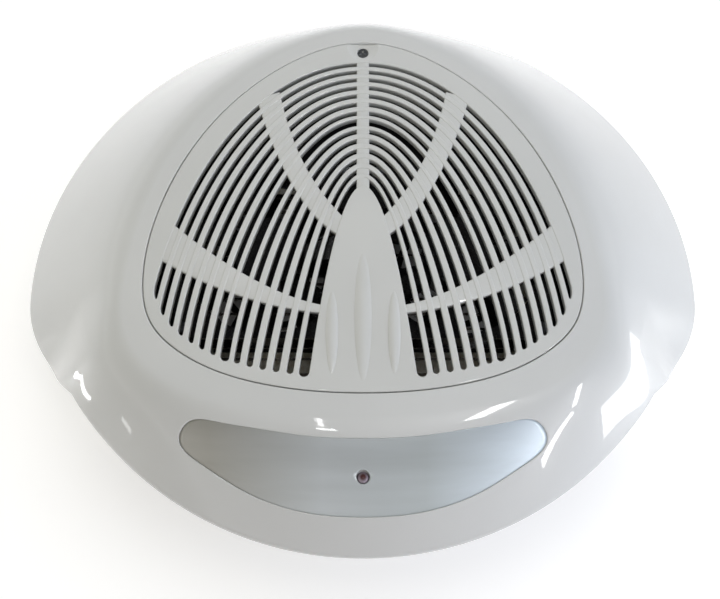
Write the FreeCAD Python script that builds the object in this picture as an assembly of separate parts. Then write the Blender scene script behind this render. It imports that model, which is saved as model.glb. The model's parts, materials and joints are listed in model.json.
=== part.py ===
"""Fan nail dryer: a domed top shell with a curved-slot intake grille, twin fans and heaters
over an open-fronted hand tunnel, on a flat base tray.

Frame: +X to the right, +Y to the back, +Z up, millimetres. The hand opening faces -Y. The
origin is the centre of the footprint on the table, under the rubber feet. Outlines and places
are given as (x, d), where d is the distance behind the visor's front.
"""
import FreeCAD, Part
import math
import os

Vector = FreeCAD.Vector

# --- Overall form -----------------------------------------------------------------------------
DEPTH = 279.0              # front of the visor to the back of the brim
HALF_WIDTH = 167.0         # the brim's half width
BRIM_BACK = 154.0          # the brim's half ellipse behind its widest line
BRIM_FRONT = 86.0          # the brim's half ellipse in front of it
VISOR_RADIUS = 151.5       # plan radius of the front visor's lip
APEX_HEIGHT = 115.5        # table to the top of the roof
ROOF_RADIUS = 2200.0       # crown of the roof, nearly flat
RIM_HEIGHT = 34.0          # lower edge of the brim
RIM_LIP = 4.5              # upright band along the brim's edge
VISOR_HEIGHT = 68.0        # lower edge of the visor, over the hands
VISOR_LIP = 6.0            # upright band along the visor's edge
BRIM_SWELL = 61.5          # rise of the brim's own dome over its edge
BRIM_POWER = 4.0           # how late that dome bends down towards its edge
VALLEY_BLEND = 13.0        # height over which roof and brim run into each other
CREST_SOFTNESS = 0.2       # roundness of the crest, as a share of the slope below it
CREST_ROUNDING = 6.0       # and as a length added to that
POLE_DEPTH = 140.0         # d of the point that outlines are measured round

# Half outlines, front centre first, then round the right side to the back centre.
PANEL_HALF = ((0, 67.5), (43, 71.5), (76, 84.0), (91, 99.0), (94.5, 118), (89, 148), (69, 186),
              (37, 215.5), (0, 228))
CREST_HALF = ((0, 58), (48, 62), (84, 74), (101, 94), (101.5, 122), (95, 150), (76, 187),
              (42, 219), (0, 234))
FOOT_HALF = ((0, 0), (47, 7.5), (90, 29.6), (121, 59.8), (134, 80), (132, 104), (122, 133),
             (108, 162), (90, 193), (62, 223), (33, 241), (0, 247))
FASCIA_HALF = ((0, 17.3), (26, 19.5), (49, 27), (69, 39), (78.5, 50), (74, 55.8), (62, 55.8),
               (46, 53), (25, 49.8), (0, 48.6))

# --- Walls and clearances ---------------------------------------------------------------------
SHELL_WALL = 2.5
HOOD_WALL = 2.2
BASE_WALL = 2.5
FIT_GAP = 0.4              # clearance between housings that seat in each other
PANEL_GAP = 0.45           # the dark line round the grille panel
SCREW_GAP = 0.05           # radial clearance of a screw in its pilot hole
BEARING_GAP = 0.03         # radial running clearance of a fan shaft
AIR_GAP = 0.5              # between parts of a fan that turn past each other

# --- Grille panel -----------------------------------------------------------------------------
PANEL_WALL = 2.5
RIB_DEPTH = 4.0
PAD_DROP = 6.0             # underside of the pad round the panel's screw
HEAD_SEAT = 3.6            # depth of that screw's seat under the roof
PAD_RADIUS = 4.5
BOSS_DROP = 16.0
TAB_X = 12.0               # hooks at the panel's front edge
LEDGE_WIDTH = 3.5          # how far the shell's seat reaches in under the panel
LEDGE_WALL = 2.5
SLOT_COUNT = 14
SLOT_SHARE = 0.45          # slot width over slot pitch
WIDE_SLOTS = {7: 1.55, 13: 1.5}
ARCH_OUTER = ((92, 90), (84.5, 160.5), (46, 217), (0, 217))
ARCH_INNER = ((26, 67.5), (23.5, 84.5), (13.5, 160.5), (0, 160.5))
ARCH_CROWDING = 0.85       # 1 spaces the arches evenly, less crowds them outside
SLOT_FOOT = 75.5           # d of the slots' feet on the centre line
SLOT_FOOT_RISE = 40.0      # how far the feet climb towards the sides
SLOT_FOOT_HALF = 89.0
SLOT_FOOT_POWER = 2.6
WEB_DROP = 0.4             # webs lie this far under the ribs' tops
SPINE_HALF = 2.8           # half width of the centre web
UPPER_WEB = (((37.8, 206), (33.8, 186), (25.8, 159.5), (5, 141)),
             ((48.3, 203), (42.8, 182), (27.5, 141.5), (7, 134.5)))
LOWER_WEB = (((91, 149), (67.3, 126.5), (34.6, 106), (13, 104.5)),
             ((95.3, 130.5), (71.3, 113.5), (39.3, 102.6), (15, 101.3)))
LENSES = ((0, 101, 25, 3.7), (-13.2, 93.5, 16, 2.7), (13.2, 93.5, 16, 2.7))
LENS_RISE = 1.3            # lenses are given as x, d, half length and half width
SCOOP_RADIUS = 20.0
SCOOP_DEPTH = 1.3
GRILLE_SCREW_DEPTH = 223.5

# --- Fascia and lamp --------------------------------------------------------------------------
FASCIA_RECESS = 0.8
FASCIA_THICK = 1.0
LAMP_DEPTH = 33.5
LAMP_RADIUS = 2.6
LAMP_LIFT = 1.0

# --- Hand tunnel, base and feet ---------------------------------------------------------------
TUNNEL_HALF = 122.0
TUNNEL_BACK = 225.0
CEILING = 60.0             # underside of the hood over the hands
HOOD_CORNER = 50.0
FLOOR_LOW = 2.5            # underside of the base tray
FLOOR_FRONT_RADIUS = 146.5
BRIM_INSET = 0.8           # base wall behind the shell's edge
TONGUE_RISE = 3.5          # base tongue inside the shell's edge
FOOT_RADIUS = 8.0
FOOT_THICK = 3.5
FOOT_SPOTS = ((-98, 50), (98, 50), (-112, 205), (112, 205))
PILLAR_SPOTS = ((-144, 128), (144, 128), (-84, 246), (84, 246))
PILLAR_RADIUS = 4.0
PILLAR_FOOT = 12.0
SCREW_SEAT = 8.0           # head seat of the base screws
EAR_DEPTHS = (100.0, 165.0)
EAR_SIZE = 13.0
EAR_LOW = 9.0
REAR_WALL_DEPTH = 259.0    # d of the recessed rear wall that carries switch and gland
REAR_HALF = 62.0
REAR_TOP = 62.0            # height that the wall may reach before the shell stops it

# --- Fans -------------------------------------------------------------------------------------
FAN_SIZE = 80.0
FAN_HEIGHT = 25.0
FAN_LOW = 78.0
FAN_X = 42.5
FAN_DEPTH = 133.0
FAN_BORE = 38.0
FAN_FLANGE = 3.5
FAN_PITCH = 71.5            # screw hole spacing
FAN_CORNER = 5.0
HUB_RADIUS = 16.0
CUP_WALL = 1.2
MAGNET_WALL = 1.6
BLADE_COUNT = 7
BLADE_TIP = 37.3
BLADE_ROOT_CHORD = 20.0
BLADE_TIP_CHORD = 27.0
BLADE_ROOT_PITCH = 50.0
BLADE_TIP_PITCH = 32.0
BLADE_THICK = 1.4
BLADE_CAMBER = 2.2
SHAFT_RADIUS = 1.5
BEARING_RADIUS = 3.4
TUBE_WALL = 1.3
STRUT_WIDTH = 4.0

# --- Heaters and electrics --------------------------------------------------------------------
FORMER_HALF = 36.0
FORMER_FRONT = 77.0
FORMER_BACK = 180.0
FORMER_BORDER = 9.0
FORMER_FRONT_BORDER = 16.0
MICA_THICK = 1.0
FORMER_HEIGHT = 69.0
WIRE_SIZE = 1.1
WIRE_PASSES = 12
OUTLET_RADIUS = 34.0
GUARD_RINGS = 3
GUARD_SPOKE = 3.0
SCREW_RADIUS = 1.45
HEAD_RADIUS = 2.8
HEAD_HEIGHT = 1.8
BOARD_THICK = 1.6
SENSOR_X = 18.0
SENSOR_DEPTH = 16.0
SENSOR_RADIUS = 2.5
SWITCH_X = -30.0
SWITCH_LONG = 19.0
SWITCH_TALL = 13.0
SWITCH_BEZEL = 2.0
SWITCH_Z = 19.0
SWITCH_BODY = 13.0
GLAND_X = 32.0
GLAND_BORE = 3.4
GLAND_RADIUS = 4.4

# --- Places worked out from the sizes above ---------------------------------------------------
FRONT_Y = -DEPTH / 2
BACK_Y = DEPTH / 2
BRIM_Y = BACK_Y - BRIM_BACK
POLE_Y = FRONT_Y + POLE_DEPTH
FLOOR_TOP = FLOOR_LOW + BASE_WALL
DECK = CEILING + HOOD_WALL
PILOT_RADIUS = SCREW_RADIUS + SCREW_GAP
CLEAR_RADIUS = SCREW_RADIUS + 0.3


# --- Helpers ----------------------------------------------------------------------------------

def place(x, d, z=0.0):
    """The point at x, distance d behind the visor's front, height z."""
    return Vector(x, FRONT_Y + d, z)


def cylinder(x, d, low, high, radius):
    return Part.makeCylinder(radius, high - low, place(x, d, low))


def block(x0, x1, d0, d1, low, high):
    return Part.makeBox(x1 - x0, d1 - d0, high - low, place(x0, d0, low))


def tube(x, d, low, high, outer, inner):
    return cylinder(x, d, low, high, outer).cut(cylinder(x, d, low, high, inner))


def prism(wire, low, high):
    """The upright solid over a flat wire at height zero."""
    face = Part.Face(wire)
    face.translate(Vector(0, 0, low))
    return face.extrude(Vector(0, 0, high - low))


def mirrored(shape):
    """The same solid on the other side of the centre plane."""
    return shape.mirror(Vector(0, 0, 0), Vector(1, 0, 0))


def both_sides(shape):
    return [shape, mirrored(shape)]


def joined(shapes):
    first = shapes[0]
    return first.fuse(shapes[1:]) if len(shapes) > 1 else first


def symmetric_wire(points):
    """A smooth closed outline through half points that run from front centre to back centre.

    The curve's parameter is the distance along the points, so that end tangents of length one
    fit it and the two halves run into each other without a corner.
    """
    marks = [0.0]
    for a, b in zip(points[:-1], points[1:]):
        marks.append(marks[-1] + (b - a).Length)
    curve = Part.BSplineCurve()
    curve.interpolate(Points=points, Parameters=marks, InitialTangent=Vector(1, 0, 0),
                      FinalTangent=Vector(-1, 0, 0), Scale=False)
    half = curve.toShape()
    return Part.Wire(Part.__sortEdges__([half, mirrored(half)]))


class PolarOutline:
    """A smooth closed outline that knows its radius about the pole in each direction."""

    def __init__(self, half):
        self.points = [place(x, d) for x, d in half]
        samples = self.wire().discretize(721)
        polar = sorted((math.atan2(p.y - POLE_Y, p.x), math.hypot(p.x, p.y - POLE_Y)) for p in samples)
        turn = 2 * math.pi
        first, last = polar[0], polar[-1]
        self.table = [(last[0] - turn, last[1])] + polar + [(first[0] + turn, first[1])]

    def wire(self, grow=0.0):
        """The flat outline, grown outwards from the pole."""
        moved = []
        for p in self.points:
            reach = math.hypot(p.x, p.y - POLE_Y)
            share = (reach + grow) / reach
            moved.append(Vector(p.x * share, POLE_Y + (p.y - POLE_Y) * share, 0))
        return symmetric_wire(moved)

    def radius(self, angle):
        """The outline's distance from the pole in one direction."""
        low, high = 0, len(self.table) - 1
        while high - low > 1:
            middle = (low + high) // 2
            if self.table[middle][0] <= angle:
                low = middle
            else:
                high = middle
        (a0, r0), (a1, r1) = self.table[low], self.table[high]
        share = (angle - a0) / (a1 - a0) if a1 > a0 else 0.0
        return r0 + share * (r1 - r0)


# --- The shell's outer form -------------------------------------------------------------------

PANEL = PolarOutline(PANEL_HALF)
CREST = PolarOutline(CREST_HALF)
FOOT = PolarOutline(FOOT_HALF)


def smooth_max(a, b, blend):
    """The larger of two heights, rounded where they meet."""
    share = max(blend - abs(a - b), 0.0) / blend
    return max(a, b) + share * share * blend / 4


def roof_height(x, y):
    """The roof's own crown, a piece of a large sphere."""
    flat = x * x + (y - POLE_Y) ** 2
    return APEX_HEIGHT - ROOF_RADIUS + math.sqrt(ROOF_RADIUS ** 2 - flat)


def dome_height(x, y):
    """The roof, which turns down past its crest and runs to the visor's edge."""
    angle = math.atan2(y - POLE_Y, x)
    reach = math.hypot(x, y - POLE_Y)
    crest, foot = CREST.radius(angle), FOOT.radius(angle)
    past = max((reach - crest) / (foot - crest), 0.0)
    soft = CREST_SOFTNESS + CREST_ROUNDING / (foot - crest)
    ramp = math.sqrt(past ** 2 + soft ** 2) - soft
    full = math.sqrt(1 + soft ** 2) - soft
    foot_x, foot_y = foot * math.cos(angle), POLE_Y + foot * math.sin(angle)
    fall = roof_height(foot_x, foot_y) - VISOR_HEIGHT - VISOR_LIP
    return roof_height(x, y) - fall * ramp / full


def brim_height(x, y):
    """The brim's flat-topped dome, which meets its own outline at its edge's height."""
    length = BRIM_BACK if y > BRIM_Y else BRIM_FRONT
    share = math.hypot(x / HALF_WIDTH, (y - BRIM_Y) / length)
    return RIM_HEIGHT + RIM_LIP + BRIM_SWELL * (1 - share ** BRIM_POWER)


def top_height(x, y):
    """The shell's outer surface."""
    return smooth_max(dome_height(x, y), brim_height(x, y), VALLEY_BLEND)


def levelled_height(x, y):
    """The outer surface, levelled out where it falls past every edge of the shell."""
    return smooth_max(top_height(x, y), RIM_HEIGHT / 3, RIM_HEIGHT / 3)


def inner_height(x, y):
    """The shell's inner surface, one wall below the outer one along its normal."""
    step = 0.5
    slope_x = (levelled_height(x + step, y) - levelled_height(x - step, y)) / (2 * step)
    slope_y = (levelled_height(x, y + step) - levelled_height(x, y - step)) / (2 * step)
    return levelled_height(x, y) - SHELL_WALL * math.sqrt(1 + slope_x ** 2 + slope_y ** 2)


GRID_STEP = 4.0            # spacing of the points that the surface is drawn through
GRID_MARGIN = 8.0


def space_under(height):
    """The space under a height formula, as a solid that reaches far below the table."""
    half = HALF_WIDTH + GRID_MARGIN
    length = DEPTH + 2 * GRID_MARGIN
    columns = int(math.ceil(2 * half / GRID_STEP))
    rows = int(math.ceil(length / GRID_STEP))
    points = []
    for i in range(columns + 1):
        x = -half + 2 * half * i / columns
        ys = [FRONT_Y - GRID_MARGIN + length * j / rows for j in range(rows + 1)]
        points.append([Vector(x, y, height(x, y)) for y in ys])
    sheet = Part.BSplineSurface()
    sheet.interpolate(points)
    return sheet.toShape().extrude(Vector(0, 0, -3 * APEX_HEIGHT))


UNDER_TOP = space_under(levelled_height)
UNDER_INSIDE = space_under(inner_height)


def under_top(drop):
    """The space under the outer surface, lowered by drop."""
    return UNDER_TOP.translated(Vector(0, 0, -drop))


def roof_ball(drop):
    """A ball whose crown is the roof, lowered by drop."""
    centre = Vector(0, POLE_Y, APEX_HEIGHT - drop - ROOF_RADIUS)
    return Part.makeSphere(ROOF_RADIUS, centre)


def roof_at(x, d):
    return roof_height(x, FRONT_Y + d)


def roof_slab(wire, top_drop, low_drop):
    """A plate over a flat wire between two depths under the roof."""
    low = APEX_HEIGHT - low_drop - 2 * SHELL_WALL - RIB_DEPTH
    return prism(wire, low, APEX_HEIGHT + 1).common(roof_ball(top_drop)).cut(roof_ball(low_drop))


def brim_wire(inset):
    """The brim's outline, moved inwards."""
    centre = Vector(0, BRIM_Y, 0)
    half = HALF_WIDTH - inset
    back = Part.Ellipse(centre, half, BRIM_BACK - inset)
    front = Part.Ellipse(centre, half, BRIM_FRONT - inset)
    return Part.Wire([Part.Arc(back, 0, math.pi).toShape(),
                      Part.Arc(front, math.pi, 2 * math.pi).toShape()])


def shell_form(inset, lower):
    """The space inside the brim's and the visor's edges."""
    brim = prism(brim_wire(inset), RIM_HEIGHT - lower, APEX_HEIGHT + 1)
    visor = cylinder(0, VISOR_RADIUS, VISOR_HEIGHT - lower, APEX_HEIGHT + 1, VISOR_RADIUS - inset)
    return brim.fuse(visor)


# --- Top shell --------------------------------------------------------------------------------

def seat_block():
    """The space round the grille opening that the shell fills to carry the panel."""
    rim = prism(PANEL.wire(LEDGE_WIDTH), APEX_HEIGHT - 5 * PANEL_WALL, APEX_HEIGHT + 1)
    return rim.cut(roof_ball(PANEL_WALL + LEDGE_WALL))


def scoop():
    """The dish round the grille's screw, at the panel's edge."""
    d = GRILLE_SCREW_DEPTH + 3
    return Part.makeSphere(SCOOP_RADIUS, place(0, d, roof_at(0, d) + SCOOP_RADIUS - SCOOP_DEPTH))


def screw_boss():
    """The boss that the grille's screw bites in, hung from the seat by a gusset."""
    d = GRILLE_SCREW_DEPTH
    low = roof_at(0, d) - BOSS_DROP
    boss = cylinder(0, d, low, low + BOSS_DROP - PAD_DROP, 5.0)
    return boss.fuse(block(-3, 3, d, d + 7.5, low, low + BOSS_DROP - PANEL_WALL - 1))


def shell_openings():
    """What is cut from the shell's outside: grille mouth and seat, screw, fascia, lamp."""
    d = GRILLE_SCREW_DEPTH
    roof = roof_at(0, d)
    above = APEX_HEIGHT + 5
    mouth_low = roof - PAD_DROP + 0.2
    seat = prism(PANEL.wire(PANEL_GAP), mouth_low, above).cut(roof_ball(PANEL_WALL))
    crescent = prism(fascia_wire(), VISOR_HEIGHT, above)
    return [prism(PANEL.wire(-LEDGE_WIDTH), mouth_low, above), seat,
            cylinder(0, d, roof - PAD_DROP, above, PAD_RADIUS + FIT_GAP),
            cylinder(0, d, roof - BOSS_DROP + 1, above, PILOT_RADIUS),
            crescent.cut(under_top(FASCIA_RECESS + FASCIA_THICK)),
            cylinder(0, LAMP_DEPTH, VISOR_HEIGHT, above, LAMP_RADIUS + 0.2)]


def make_top_shell():
    solid = shell_form(0.0, 0.0).common(UNDER_TOP)
    half = TUNNEL_HALF + FIT_GAP
    solid = solid.cut(block(-half, half, -1, POLE_DEPTH, 0, VISOR_HEIGHT))
    for opening in shell_openings():
        solid = solid.cut(opening)
    inside = shell_form(SHELL_WALL, 2 * SHELL_WALL).common(UNDER_INSIDE)
    inside = inside.cut([seat_block(), screw_boss()])
    shell = solid.cut(inside)
    pillars = [cylinder(x, d, PILLAR_FOOT, APEX_HEIGHT, PILLAR_RADIUS) for x, d in PILLAR_SPOTS]
    shell = joined([shell] + [pillar.common(under_top(SHELL_WALL / 2)) for pillar in pillars])
    return shell.cut([cylinder(x, d, PILLAR_FOOT, PILLAR_FOOT + 12, PILOT_RADIUS)
                      for x, d in PILLAR_SPOTS])


# --- Grille panel -----------------------------------------------------------------------------

def arch_poles(share):
    """Bezier poles of one arch, blended between the outermost and the innermost."""
    pairs = zip(ARCH_OUTER, ARCH_INNER)
    return [((1 - share) * a[0] + share * b[0], (1 - share) * a[1] + share * b[1]) for a, b in pairs]


def arch_point(poles, t):
    weights = ((1 - t) ** 3, 3 * t * (1 - t) ** 2, 3 * t * t * (1 - t), t ** 3)
    return tuple(sum(w * p[k] for w, p in zip(weights, poles)) for k in (0, 1))


def foot_line(x):
    """d of the line that the slots' feet stand on: flat in front, climbing at the sides."""
    share = min(abs(x) / SLOT_FOOT_HALF, 0.999)
    return SLOT_FOOT + SLOT_FOOT_RISE * (1 - math.sqrt(1 - share ** SLOT_FOOT_POWER))


def arch_start(poles, extra):
    """The parameter at which an arch crosses the foot line, moved forward by extra."""
    low, high = 0.0, 0.6
    for _ in range(40):
        middle = (low + high) / 2
        x, d = arch_point(poles, middle)
        if d < foot_line(x) - extra:
            low = middle
        else:
            high = middle
    return high


def arch_band(outer_share, inner_share, extra=0.0, bulge=1.0):
    """The flat wire of the right half of the band between two arches, with a rounded foot."""
    edges, feet = [], []
    for share in (outer_share, inner_share):
        poles = arch_poles(share)
        start = arch_start(poles, extra)
        curve = Part.BezierCurve()
        curve.setPoles([place(x, d) for x, d in poles])
        edges.append(curve.toShape(start, 1.0))
        near, on = arch_point(poles, start + 0.02), arch_point(poles, start)
        feet.append((place(*on), place(*on) - place(*near)))
    middle = (feet[0][0] + feet[1][0]) * 0.5
    along = (feet[0][1] + feet[1][1]).normalize()
    reach = bulge * (feet[0][0] - feet[1][0]).Length / 2
    edges.append(Part.Arc(feet[0][0], middle + along * reach, feet[1][0]).toShape())
    tops = [place(*arch_poles(share)[3]) for share in (outer_share, inner_share)]
    edges.append(Part.LineSegment(tops[0], tops[1]).toShape())
    return Part.Wire(Part.__sortEdges__(edges))


def slot_share(index):
    """Where in the family of arches one slot's centre line lies, 0 outside to 1 inside."""
    even = index / (SLOT_COUNT - 1)
    return even * (ARCH_CROWDING + (1 - ARCH_CROWDING) * even)


def slot_limits(index):
    """The shares of one slot's outer and inner edges."""
    centre = slot_share(index)
    pitch = slot_share(index + 0.5) - slot_share(index - 0.5)
    half = SLOT_SHARE / 2 * pitch * WIDE_SLOTS.get(index, 1.0)
    return centre - half, centre + half


def bezier_edge(points):
    curve = Part.BezierCurve()
    curve.setPoles([place(x, d) for x, d in points])
    return curve.toShape()


def web_wire(edges):
    """The flat wire of a web between two curved edges."""
    upper, lower = edges
    ends = [Part.LineSegment(place(*upper[k]), place(*lower[k])).toShape() for k in (0, -1)]
    return Part.Wire(Part.__sortEdges__([bezier_edge(upper), bezier_edge(lower)] + ends))


def lens(x, d, half_length, half_width):
    """A raised lens-shaped rib, the top of a spindle that lies under the roof."""
    radius = (half_width ** 2 + LENS_RISE ** 2) / (2 * LENS_RISE)
    sink = radius - LENS_RISE
    z = roof_at(x, d) - sink
    ends = [place(x, d - half_length, z), place(x, d + half_length, z)]
    up = Vector(0, 0, sink)
    arc = Part.Arc(ends[0] + up, place(x, d, z + radius), ends[1] + up).toShape()
    sides = [Part.LineSegment(a, b).toShape()
             for a, b in ((ends[1] + up, ends[1]), (ends[1], ends[0]), (ends[0], ends[0] + up))]
    spindle = Part.Face(Part.Wire([arc] + sides)).revolve(ends[0], Vector(0, 1, 0), 360)
    return spindle.cut(roof_ball(RIB_DEPTH))


def panel_tab(x):
    """A hook at the panel's front edge that reaches under the shell's seat."""
    roof = roof_at(x, PANEL_HALF[0][1])
    d = PANEL_HALF[0][1] + LEDGE_WIDTH + 3 * FIT_GAP
    low = roof - PANEL_WALL - LEDGE_WALL - 3
    leg = block(x - 5, x + 5, d, d + 2, low, roof - PANEL_WALL / 2)
    toe = block(x - 5, x + 5, d - LEDGE_WIDTH, d + 2, low, roof - PANEL_WALL - LEDGE_WALL - FIT_GAP)
    return leg.fuse(toe)


def make_intake_grille():
    plate = roof_slab(PANEL.wire(), 0.0, PANEL_WALL)
    field_wire = arch_band(-0.035, 1.06, 1.5, 0.15)
    field = roof_slab(field_wire, 0.0, RIB_DEPTH)
    field = field.common(prism(PANEL.wire(-LEDGE_WIDTH - FIT_GAP), 0, 2 * APEX_HEIGHT))
    roof = roof_at(0, GRILLE_SCREW_DEPTH)
    pad = cylinder(0, GRILLE_SCREW_DEPTH, roof - PAD_DROP, roof - PANEL_WALL / 2, PAD_RADIUS)
    tabs = [panel_tab(x) for x in (-TAB_X, TAB_X)]
    lenses = [lens(*spot) for spot in LENSES]
    panel = joined([plate, field, mirrored(field), pad] + tabs + lenses)
    low = APEX_HEIGHT - RIB_DEPTH - 8
    cuts = []
    for index in range(SLOT_COUNT):
        cuts += both_sides(prism(arch_band(*slot_limits(index)), low, APEX_HEIGHT + 2))
    panel = panel.cut(cuts)
    field_prism = prism(field_wire, low, APEX_HEIGHT + 2)
    webs = []
    for edges in (UPPER_WEB, LOWER_WEB):
        web = roof_slab(web_wire(edges), WEB_DROP, RIB_DEPTH).common(field_prism)
        webs += both_sides(web)
    spine_low, spine_high = ARCH_INNER[3][1] - 6, ARCH_OUTER[3][1] + 3
    spine = block(-SPINE_HALF, SPINE_HALF, spine_low, spine_high, low, APEX_HEIGHT + 2)
    spine = spine.common(roof_ball(WEB_DROP)).cut(roof_ball(RIB_DEPTH))
    panel = joined([panel, spine] + webs)
    return panel.cut([scoop(),
                      cylinder(0, GRILLE_SCREW_DEPTH, roof - PAD_DROP, APEX_HEIGHT, CLEAR_RADIUS),
                      cylinder(0, GRILLE_SCREW_DEPTH, roof - HEAD_SEAT, APEX_HEIGHT, HEAD_RADIUS + 0.3)])


# --- Screws -----------------------------------------------------------------------------------

def screw(x, d, seat, length, up=True):
    """A pan-head screw with a cross recess; the head lies above its seat, or below if not up."""
    head = cylinder(0, -FRONT_Y, 0, HEAD_HEIGHT, HEAD_RADIUS)
    head = head.makeChamfer(0.5, [e for e in head.Edges if e.BoundBox.ZMin > HEAD_HEIGHT - 0.1])
    shank = cylinder(0, -FRONT_Y, -length, 0, SCREW_RADIUS)
    arm, half = 1.8, 0.35
    cross = [block(-arm, arm, -FRONT_Y - half, -FRONT_Y + half, HEAD_HEIGHT - 1, HEAD_HEIGHT + 1),
             block(-half, half, -FRONT_Y - arm, -FRONT_Y + arm, HEAD_HEIGHT - 1, HEAD_HEIGHT + 1)]
    piece = head.fuse(shank).cut(cross)
    if not up:
        piece.rotate(Vector(0, 0, 0), Vector(1, 0, 0), 180)
    return piece.translated(place(x, d, seat))


def make_grille_screw():
    return screw(0, GRILLE_SCREW_DEPTH, roof_at(0, GRILLE_SCREW_DEPTH) - HEAD_SEAT, 10.5)


def make_base_screws():
    return Part.makeCompound([screw(x, d, SCREW_SEAT, PILLAR_FOOT - SCREW_SEAT + 10, False)
                              for x, d in PILLAR_SPOTS])


def make_hood_screws():
    return Part.makeCompound([screw(x, d, EAR_LOW + 3, EAR_LOW + 3 - FLOOR_TOP - 1) for x, d in ear_spots()])


# --- Fascia and lamp --------------------------------------------------------------------------

def fascia_wire(shrink=0.0):
    """The crescent outline of the fascia on the visor's slope."""
    middle = place(0, LAMP_DEPTH)
    points = [place(x, d) for x, d in FASCIA_HALF]
    return symmetric_wire([p + (middle - p).normalize() * shrink for p in points])


def lamp_top():
    return top_height(0, FRONT_Y + LAMP_DEPTH) - FASCIA_RECESS + LAMP_LIFT


def make_fascia_plate():
    plate = prism(fascia_wire(0.15), VISOR_HEIGHT, APEX_HEIGHT + 5)
    plate = plate.common(under_top(FASCIA_RECESS)).cut(under_top(FASCIA_RECESS + FASCIA_THICK))
    return plate.cut(cylinder(0, LAMP_DEPTH, VISOR_HEIGHT, APEX_HEIGHT, LAMP_RADIUS + 0.2))


def make_indicator_lamp():
    top = lamp_top()
    body = cylinder(0, LAMP_DEPTH, top - 8, top - LAMP_RADIUS, LAMP_RADIUS)
    dome = Part.makeSphere(LAMP_RADIUS, place(0, LAMP_DEPTH, top - LAMP_RADIUS))
    legs = [block(x - 0.3, x + 0.3, LAMP_DEPTH - 0.3, LAMP_DEPTH + 0.3, BOARD_LOW + BOARD_THICK, top - 8)
            for x in (-1.27, 1.27)]
    return joined([body, dome] + legs)


# --- Inner hood -------------------------------------------------------------------------------

def rounded_tunnel(half, back, corner, low, high):
    """A block that starts in front of the visor and has two rounded corners at its back."""
    shape = block(-half, half, -20, back, low, high)
    edges = [e for e in shape.Edges if e.BoundBox.ZLength > 1 and e.BoundBox.YMin > 0]
    return shape.makeFillet(corner, edges)


def ear_spots():
    return [(side * (TUNNEL_HALF + EAR_SIZE / 2), d) for side in (-1, 1) for d in EAR_DEPTHS]


def outlet_cuts(x):
    """Ring-shaped air slots in the ceiling under one fan, crossed by spokes."""
    low, high = CEILING - 1, DECK + 1
    step = (OUTLET_RADIUS - 4) / GUARD_RINGS
    rings = [tube(x, FAN_DEPTH, low, high, 4 + step * (k + 1), 4 + step * k + GUARD_SPOKE)
             for k in range(GUARD_RINGS)]
    reach = OUTLET_RADIUS + 1
    half = GUARD_SPOKE / 2
    spokes = [block(x - reach, x + reach, FAN_DEPTH - half, FAN_DEPTH + half, low, high),
              block(x - half, x + half, FAN_DEPTH - reach, FAN_DEPTH + reach, low, high)]
    return [ring.cut(spokes) for ring in rings]


def fan_corners(x):
    half = FAN_PITCH / 2
    return [(x + i * half, FAN_DEPTH + j * half) for i in (-1, 1) for j in (-1, 1)]


def make_inner_hood():
    wall = HOOD_WALL
    hood = rounded_tunnel(TUNNEL_HALF, TUNNEL_BACK, HOOD_CORNER, FLOOR_TOP, DECK)
    hood = hood.cut(rounded_tunnel(TUNNEL_HALF - wall, TUNNEL_BACK - wall, HOOD_CORNER - wall,
                                   FLOOR_TOP - 1, CEILING))
    edge = VISOR_RADIUS - SHELL_WALL - FIT_GAP
    hood = hood.common(cylinder(0, VISOR_RADIUS, 0, DECK, edge).fuse(
        block(-TUNNEL_HALF, TUNNEL_HALF, VISOR_RADIUS, DEPTH, 0, DECK)))
    flange = tube(0, VISOR_RADIUS, CEILING, VISOR_HEIGHT + 3, edge, edge - wall)
    flange = flange.common(block(-TUNNEL_HALF, TUNNEL_HALF, 0, VISOR_RADIUS / 2, 0, DEPTH))
    parts = [hood, flange]
    for x, d in ear_spots():
        parts.append(block(x - EAR_SIZE / 2, x + EAR_SIZE / 2, d - EAR_SIZE / 2, d + EAR_SIZE / 2,
                           EAR_LOW, EAR_LOW + 3))
    for x in (-FAN_X, FAN_X):
        parts += [cylinder(cx, cd, CEILING + 1, FAN_LOW, FAN_CORNER - 1) for cx, cd in fan_corners(x)]
    parts += [cylinder(x, d, CEILING + 1, BOARD_LOW, 3.0) for x, d in BOARD_SPOTS]
    hood = joined(parts)
    cuts = outlet_cuts(-FAN_X) + outlet_cuts(FAN_X)
    for x in (-FAN_X, FAN_X):
        cuts += [cylinder(cx, cd, FAN_LOW - 10, FAN_LOW + 1, PILOT_RADIUS)
                 for cx, cd in fan_corners(x)]
    cuts += [cylinder(x, d, EAR_LOW - 1, EAR_LOW + 4, CLEAR_RADIUS) for x, d in ear_spots()]
    cuts += [cylinder(x, d, BOARD_LOW - 3, BOARD_LOW + 1, PILOT_RADIUS) for x, d in BOARD_SPOTS]
    cuts += [cylinder(x, SENSOR_DEPTH, CEILING - 1, DECK + 1, SENSOR_RADIUS + 0.2)
             for x in (-SENSOR_X, SENSOR_X)]
    return hood.cut(cuts)


# --- Base tray and feet -----------------------------------------------------------------------

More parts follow.
